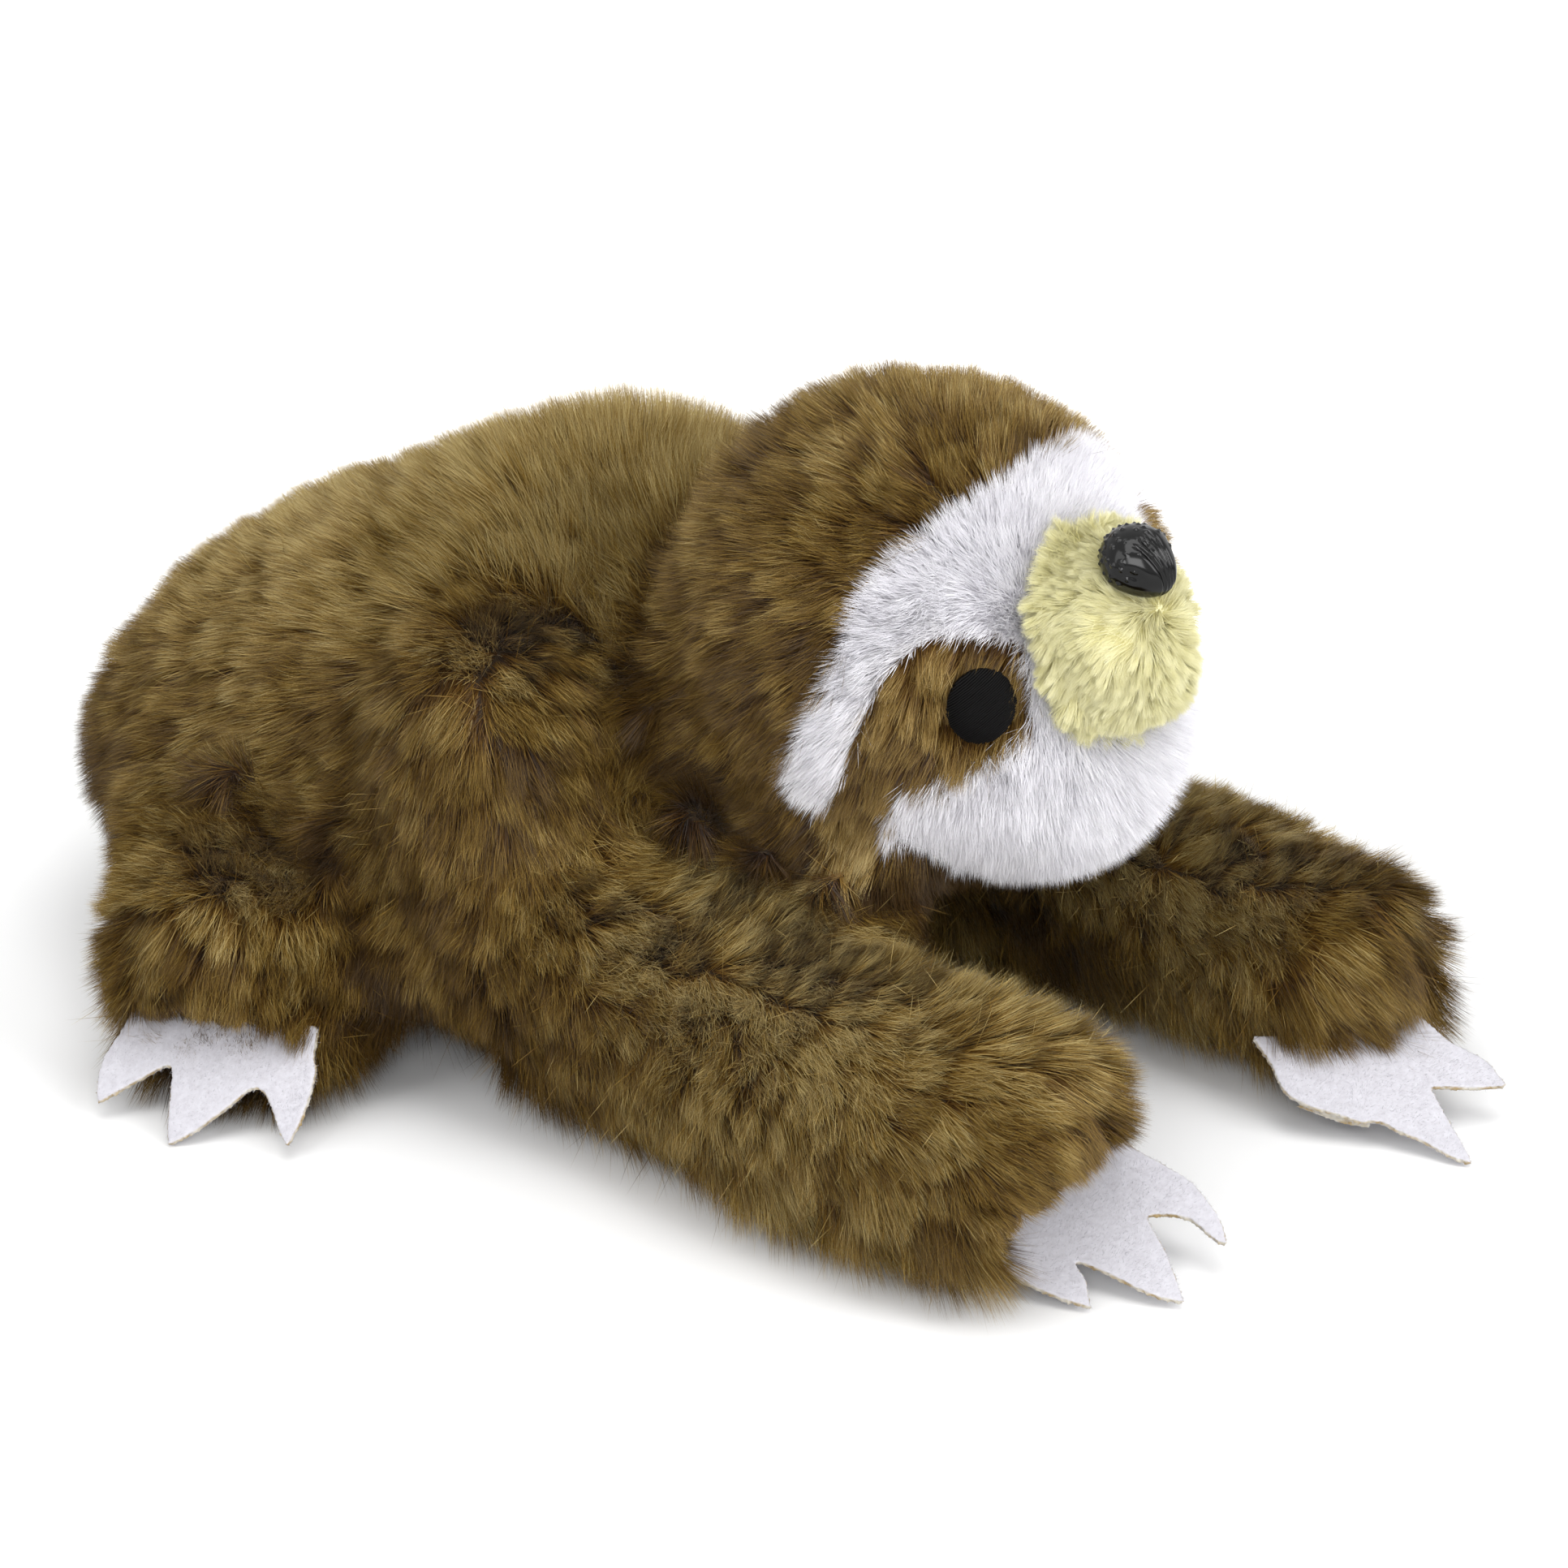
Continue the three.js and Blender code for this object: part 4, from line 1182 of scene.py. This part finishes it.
every = [node for cloths, stuffing in BODY_CLOTHS.values() for node in [*cloths, stuffing]]
skin = stuffed_form("skin", every, GRAIN, SEAM_BRIDGE, PILE_DEPTH, GROOVE_FILL)
points, normals = corners(skin), outward(skin)
gap = under_head(points)
below = gap > 0
pile_middle = points[below] + normals[below] * PILE_DEPTH / 2
gap[below] *= np.clip(-0.5 - depth_in(surface(every), pile_middle), 0, 3)
chin_out = HEAD_AXES @ np.array([0, -CHIN_OUT, -0.4 * CHIN_OUT])
at_muzzle = ramped(np.linalg.norm(in_head(points) - MUZZLE_MIDDLE, axis=1), 30, 22)
at_muzzle *= np.clip(clear_of_eyes(points) / 8, 0, 1)
points += normals * relaxed(skin, MUZZLE_RIM * at_muzzle - gap, 4) + at_chin(points)[:, None] * chin_out
points[:, 2] = np.maximum(points[:, 2] - FLANK_DOWN * at_flank(points), np.minimum(points[:, 2], 5.0))
place(skin, points)
for felt in FELTS.values():
    for depth in (4.0, 3.0):
        points = corners(skin)
        near = (np.linalg.norm(points - felt.root, axis=1) < 45)[:, None]
        drawn = relaxed(skin, np.where(near, felt.drawn_back(points, depth), points), 1)
        place(skin, np.where(near, drawn, points))
belongs = sow(skin, PILE_DEPTH, looks)
for body, (cloths, stuffing) in BODY_CLOTHS.items():
    form = stuffed_form(body, [*cloths, stuffing], GRAIN, 3.0, PILE_DEPTH + UNDER_SKIN)
    held_under(form, skin, UNDER_SKIN)
    back(body + "_cloth", owner_of(stuffing), form, skin, belongs, looks, stuffing)

muzzle_looks = {
    "muzzle_cover": dict(
        backing=cream_backing,
        pile=cream_pile,
        slot="cream_plush",
        comb=comb_muzzle,
        tone=no_tone,
        clear_of=clear_of_nose,
        settings={
            "Strands per square metre": 4.6e7,
            "Length": 5.2 * MM,
            "Width": 0.15 * MM,
            "Rise": 0.42,
            "Waver": 2.2,
            "Crimp": 2.4,
            "Stray": 0.4,
            "Lock size": 0.0013,
            "Lock pull": 0.82,
            "Shade by strand": 0.4,
            "Shade by lock": 0.5,
        },
    )
}
muzzle = stuffed_form("muzzle", ["muzzle_cover", "muzzle_stuffing"], 1.2, 3.0, MUZZLE_PILE_DEPTH)
sow(muzzle, MUZZLE_PILE_DEPTH, muzzle_looks)
back("muzzle_cloth", owner_of("muzzle_cover"), muzzle, None, None, muzzle_looks, "muzzle_stuffing")

# ---------------------------------------------------------------- the nose


def dent(points, spot, wide, deep):
    """A round hollow in a form one across, or a bump where deep is negative."""
    far = np.linalg.norm(points - np.array(spot), axis=1)
    return -deep * np.exp(-((far / wide) ** 2))


def nose_form():
    """The moulded nose: pebbles over its top, folds down its front and a hollow for each nostril."""
    ball = bmesh.new()
    bmesh.ops.create_icosphere(ball, subdivisions=6, radius=1)
    mesh = meshed(ball, "nose_form")
    points = corners(mesh) * MM
    across, up, out = points.T
    move = np.zeros(len(points))
    front = ramped(up, 0.3, 0) * np.clip(out + 0.5, 0, 1)
    for fold in (-0.36, -0.12, 0.12, 0.36):
        bend = fold * (1 + 0.3 * up)
        move -= 0.09 * np.exp(-(((across - bend) / 0.06) ** 2)) * front
    for side in (-1, 1):
        move += dent(points, (0.85 * side, -0.3, 0.35), 0.2, 0.1)
    chance = np.random.default_rng(5)
    pebbles = []
    while len(pebbles) < 60:
        spot = unit(chance.normal(size=3))
        if spot[2] > -0.3 and spot[1] > -0.35 + 0.4 * chance.random():
            if all(np.linalg.norm(spot - p) > 0.2 for p in pebbles):
                pebbles.append(spot)
    for spot in pebbles:
        move += dent(points, spot, 0.05, -0.055)
    below = np.clip(0.1 - up, 0, 1)[:, None]
    form = points * (1 + move)[:, None] * NOSE_HALF * (1 - below * NOSE_TAPER)
    lean = math.radians(90 - NOSE_RAISE)
    cos, sin = math.cos(lean), math.sin(lean)
    turn = np.array([[1, 0, 0], [0, cos, -sin], [0, sin, cos]])
    line = turn @ np.array([0, 0, 1.0])
    middle = MUZZLE_MIDDLE + line * NOSE_OUT
    place(mesh, (form @ turn.T + middle) @ HEAD_AXES.T + HEAD_CENTRE)
    whole = bmesh.new()
    whole.from_mesh(mesh)
    start = (middle - line * SHANK_LENGTH) @ HEAD_AXES.T + HEAD_CENTRE
    end = middle @ HEAD_AXES.T + HEAD_CENTRE
    axis = Vector(end - start)
    aim = axis.to_track_quat("Z", "Y").to_matrix().to_4x4()
    bmesh.ops.create_cone(
        whole,
        cap_ends=True,
        segments=24,
        radius1=SHANK_RADIUS * MM,
        radius2=SHANK_RADIUS * MM,
        depth=axis.length * MM,
        matrix=Matrix.Translation(Vector((start + end) / 2) * MM) @ aim,
    )
    mesh = meshed(whole, "nose_form")
    smooth(mesh)
    mesh.materials.append(nose_plastic)
    return show("nose_form", mesh)


nose = nose_form()
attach(nose, "head")
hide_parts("nose")

# ---------------------------------------------------------------- the embroidered eyes

STITCH_INPUTS = [
    ("Ground", "NodeSocketGeometry", None),
    ("Radius", "NodeSocketFloat", 0.0065),
    ("Dome", "NodeSocketFloat", 0.0012),
    ("Stitches", "NodeSocketInt", 34),
    ("Thread", "NodeSocketFloat", 0.00024),
    ("Uneven", "NodeSocketFloat", 0.0003),
    ("Material", "NodeSocketMaterial", None),
]


def stitch_tree():
    """Satin stitch: threads side by side across a dome, each as long as the dome is wide there."""
    tree, given = new_tree("satin stitch", STITCH_INPUTS, "Stitches")
    node = partial(add, tree)
    place = node("GeometryNodeInputPosition")
    radius = given["Radius"]

    # One straight thread at each step across the dome
    wide = node(MATH, (radius, 1.94), operation="MULTIPLY")
    gaps = node(MATH, (given["Stitches"], 1.0), operation="SUBTRACT")
    step = node(MATH, (wide, gaps), operation="DIVIDE")
    low = node(MATH, (radius, -0.97), operation="MULTIPLY")
    start, step = (node("ShaderNodeCombineXYZ", {"Y": y}) for y in (low, step))
    row = {"Count": given["Stitches"], "Start Location": start, "Offset": step}
    row = node("GeometryNodeMeshLine", row)
    y = first(node("ShaderNodeSeparateXYZ", {"Vector": place}), "Y")
    squares = [node(MATH, (side, side), operation="MULTIPLY") for side in (radius, y)]
    half = node(MATH, squares, operation="SUBTRACT")
    half = node(MATH, (half, 0.0), operation="MAXIMUM")
    half = node(MATH, (half,), operation="SQRT")
    ragged = node(RANDOM, {"Min": 0.0, "Max": given["Uneven"], "Seed": 3}, data_type="FLOAT")
    half = node(MATH, (half, ragged), operation="ADD")
    size = node("ShaderNodeCombineXYZ", (half, 1.0, 1.0))
    line = {"Start": (-1.0, 0.0, 0.0), "End": (1.0, 0.0, 0.0)}
    line = node("GeometryNodeCurvePrimitiveLine", line, mode="POINTS")
    threads = node("GeometryNodeInstanceOnPoints", {"Points": row, "Instance": line, "Scale": size})
    threads = node("GeometryNodeRealizeInstances", {"Geometry": threads})
    threads = node("GeometryNodeResampleCurve", {"Curve": threads, "Count": 14}, mode="COUNT")

    # Laid over the dome, a little unevenly
    share = node(VECTOR, (place,), operation="LENGTH")
    share = node(MATH, (first(share, "Value"), radius), operation="DIVIDE")
    share = node(MATH, (share, 1.0), operation="MINIMUM")
    share = node(MATH, (share, 4.0), operation="POWER")
    share = node(MATH, (1.0, share), operation="SUBTRACT")
    height = node(MATH, (share, given["Dome"]), operation="MULTIPLY")
    lift = node("ShaderNodeCombineXYZ", {"Z": height})
    sway = node("ShaderNodeTexNoise", {"Vector": place, "Scale": 900.0, "Detail": 1.0})
    sway = node(VECTOR, (first(sway, "Color"), (0.5, 0.5, 0.5)), operation="SUBTRACT")
    sway = node(VECTOR, {"Vector": sway, "Scale": given["Uneven"]}, operation="SCALE")
    offset = node(VECTOR, (lift, sway), operation="ADD")
    threads = node("GeometryNodeSetPosition", {"Geometry": threads, "Offset": offset})
    section = {"Resolution": 6, "Radius": given["Thread"]}
    section = node("GeometryNodeCurvePrimitiveCircle", section, mode="RADIUS")
    threads = {"Curve": threads, "Profile Curve": section, "Fill Caps": True}
    threads = node("GeometryNodeCurveToMesh", threads)
    both = node("GeometryNodeJoinGeometry", {"Geometry": threads})
    tree.links.new(given["Ground"], both.inputs[0])
    both = node("GeometryNodeSetMaterial", {"Geometry": both, "Material": given["Material"]})
    node("NodeGroupOutput", {"Stitches": both})
    return tree


def eye_ground():
    """The padding under the stitches: a low closed dome, in its own frame."""
    dome = bmesh.new()
    bmesh.ops.create_uvsphere(dome, u_segments=40, v_segments=16, radius=1)
    mesh = meshed(dome, "eye ground")
    points = corners(mesh) * MM
    flat = np.linalg.norm(points[:, :2], axis=1)
    points[:, 2] = np.where(points[:, 2] > 0, (1 - flat**4) * 1.1, -0.9)
    points[:, :2] *= EYE_RADIUS
    place(mesh, points)
    return mesh


stitches = stitch_tree()
for side in ("left", "right"):
    middle, line = eye_line(side)
    name = f"eye_{side}_stitches"
    mesh = grown(show(name, eye_ground()), stitches, {"Material": eye_thread}, name)
    middle = middle + line * EYE_PROUD
    lean = Matrix.Diagonal((0.98, 1.1, 1, 1)) @ Matrix.Rotation(math.radians(35), 4, "Z")
    aim = Vector(line).to_track_quat("Z", "Y").to_matrix().to_4x4()
    mesh.transform(Matrix.Translation(Vector(middle) * MM) @ aim @ lean)
    smooth(mesh)
    eye = show(name, mesh)
    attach(eye, "head")
    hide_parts(f"eye_{side}")

# ---------------------------------------------------------------- the felt claws

FELT_GRAIN = 0.36
FELT_FUZZ = {
    "Strands per square metre": 5.0e6,
    "Length": 0.8 * MM,
    "Width": 0.06 * MM,
    "Rise": 0.3,
    "Waver": 3.0,
    "Crimp": 2.0,
    "Stray": 0.8,
    "Lock pull": 0.0,
    "Shade": 0.5,
}


def rounded(outline):
    """A closed outline with its corners a little rounded and points between them."""
    points = np.array(outline, float)
    before, after = np.roll(points, 1, 0), np.roll(points, -1, 0)
    return np.concatenate([points * 0.9 + before * 0.1, points * 0.9 + after * 0.1], 1).reshape(-1, 2)


def felt_form(name, felt):
    """One set of claws cut from felt: its faces a little uneven and its cut edge rough."""
    pattern = felt.pattern
    seam = sorted(pattern["seam"])
    if pattern["cut"][0][0] < 0:
        seam = seam[::-1]
    tucked = [(a, f - TUCKED) for a, f in seam]
    layers = [(rounded(tucked + pattern["cut"]), -0.5)]
    if "folded" in pattern:
        layers.append((np.array(pattern["folded"]), -2.0))
    shell = bmesh.new()
    for outline, low in layers:
        rings = [felt.placed(outline, (low + rise) * FELT_THICK) * MM for rise in (0, 1)]
        bottom, top = ([shell.verts.new(p) for p in ring] for ring in rings)
        shell.faces.new(bottom)
        shell.faces.new(top[::-1])
        for i in range(len(top)):
            shell.faces.new((top[i - 1], top[i], bottom[i], bottom[i - 1]))
    bmesh.ops.triangulate(shell, faces=shell.faces)
    bmesh.ops.recalc_face_normals(shell, faces=shell.faces)
    mesh = evened(meshed(shell, name), FELT_GRAIN)
    points = relaxed(mesh, corners(mesh), 1)
    place(mesh, points)
    normals = outward(mesh)
    cut = ramped(np.abs(normals @ felt.face), 0.75, 0.25)
    chance = np.random.default_rng(9)
    rough = relaxed(mesh, chance.normal(size=len(points)), 1)[:, 0] * (0.02 + 0.25 * cut)
    points = points + normals * rough[:, None]
    points[:, 2] = np.maximum(points[:, 2], 0.1)
    place(mesh, points)
    smooth(mesh)
    keep(mesh, "cut", "FLOAT", cut)
    mesh.materials.append(claw_felt)
    return mesh


for side in ("left", "right"):
    for limb, body in (("hand", "arm"), ("foot", "leg")):
        node = f"{limb}_claws_{side}"
        felt = show(node + "_felt", felt_form(node + "_felt", FELTS[f"{limb}_{side}"]))
        ground = felt.data.copy()
        ground.materials.clear()
        points, normals = corners(ground), outward(ground)
        keep(ground, "here", "FLOAT", np.full(len(points), 0.01))
        for share in ("thick", "long", "high"):
            keep(ground, share, "FLOAT", even(points))
        keep(ground, "tone", "FLOAT", none(points))
        keep(ground, "up", "FLOAT_VECTOR", normals)
        forward = np.tile([0.3, -0.8, 0.5], (len(points), 1))
        keep(ground, "comb", "FLOAT_VECTOR", along_surface(forward, normals))
        settings = {"Strand": strand, "Material": felt_fibre, "Seed": 17}
        fuzz = grow(node + "_fuzz", ground, {**settings, **FELT_FUZZ})
        for piece in (felt, fuzz):
            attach(piece, f"{body}_{side}")
        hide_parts(node)
bpy.data.objects.remove(strand)

# ---------------------------------------------------------------- camera, lamps and floor

CAMERA_TURN, CAMERA_RISE, CAMERA_FAR = -58.0, 22.0, 870.0
CAMERA_TARGET = Vector((-17, -90, 62)) * MM


def facing(turn, rise):
    """The direction that is so many degrees round and above the toy."""
    turn, rise = math.radians(turn), math.radians(rise)
    return Vector((math.sin(turn) * math.cos(rise), -math.cos(turn) * math.cos(rise), math.sin(rise)))


def aimed(name, data, towards, offset):
    """A camera or lamp that stands off the toy in one direction and looks back at it."""
    made = bpy.data.objects.new(name, data)
    made.location = CAMERA_TARGET + offset
    made.rotation_euler = (-towards).to_track_quat("-Z", "Y").to_euler()
    bpy.context.scene.collection.objects.link(made)
    return made


towards = facing(CAMERA_TURN, CAMERA_RISE)
lens = bpy.data.cameras.new("camera")
lens.lens = 100
lens.sensor_width = 36
lens.clip_start = 0.01
bpy.context.scene.camera = aimed("camera", lens, towards, towards * CAMERA_FAR * MM)
bpy.context.scene.view_settings.view_transform = "Standard"


def lamp(name, turn, rise, far, size, watts):
    """A square soft lamp, so many metres away and wide."""
    data = bpy.data.lights.new(name, "AREA")
    data.size = size
    data.energy = watts
    towards = facing(turn, rise)
    aimed(name, data, towards, towards * far)


lamp("top softbox", -60, 76, 1.1, 0.8, 6.5)
lamp("left softbox", -110, 34, 1.3, 0.8, 4.5)
lamp("right softbox", -5, 30, 1.3, 0.8, 9.5)
lamp("front softbox", -58, 24, 1.3, 0.6, 7)

world = bpy.data.worlds.new("white studio")
bpy.context.scene.world = world
world.use_nodes = True
world_tree = world.node_tree
ray = add(world_tree, "ShaderNodeLightPath")
seen = (first(ray, "Is Camera Ray"), first(ray, "Is Glossy Ray"))
seen = add(world_tree, MATH, seen, operation="MAXIMUM")
strength = add(world_tree, "ShaderNodeMapRange", {"Value": seen, "To Min": 0.5, "To Max": 1.0})
background = world_tree.nodes["Background"]
background.inputs["Color"].default_value = (1, 1, 1, 1)
world_tree.links.new(first(strength), background.inputs["Strength"])

# White paper, matt as it comes off the roll: it fades into the background away from the toy
FLOOR = 6.0  # half its width, in metres
floor_mesh = bpy.data.meshes.new("floor")
edges = [(-FLOOR, -FLOOR, 0), (FLOOR, -FLOOR, 0), (FLOOR, FLOOR, 0), (-FLOOR, FLOOR, 0)]
floor_mesh.from_pydata(edges, [], [(0, 1, 2, 3)])
floor = show("floor", floor_mesh)
paper = {
    "Base Color": linear("#ececec"),
    "Roughness": 0.9,
    "Specular IOR Level": 0.1,
    "Emission Color": (1, 1, 1, 1),
}
paper, floor_tree, floor_shader = material("white paper", paper)
floor_mesh.materials.append(paper)
spot = first(add(floor_tree, "ShaderNodeTexCoord"), "Object")
away = add(floor_tree, VECTOR, (spot, (-0.017, -0.09, 0.0)), operation="DISTANCE")
glow = {"Value": first(away, "Value"), "From Min": 0.14, "From Max": 0.5, "To Min": 0.0, "To Max": 0.9}
glow = add(floor_tree, "ShaderNodeMapRange", glow)
seen = first(add(floor_tree, "ShaderNodeLightPath"), "Is Camera Ray")
glow = add(floor_tree, MATH, (glow, seen), operation="MULTIPLY")
floor_tree.links.new(first(glow), floor_shader.inputs["Emission Strength"])
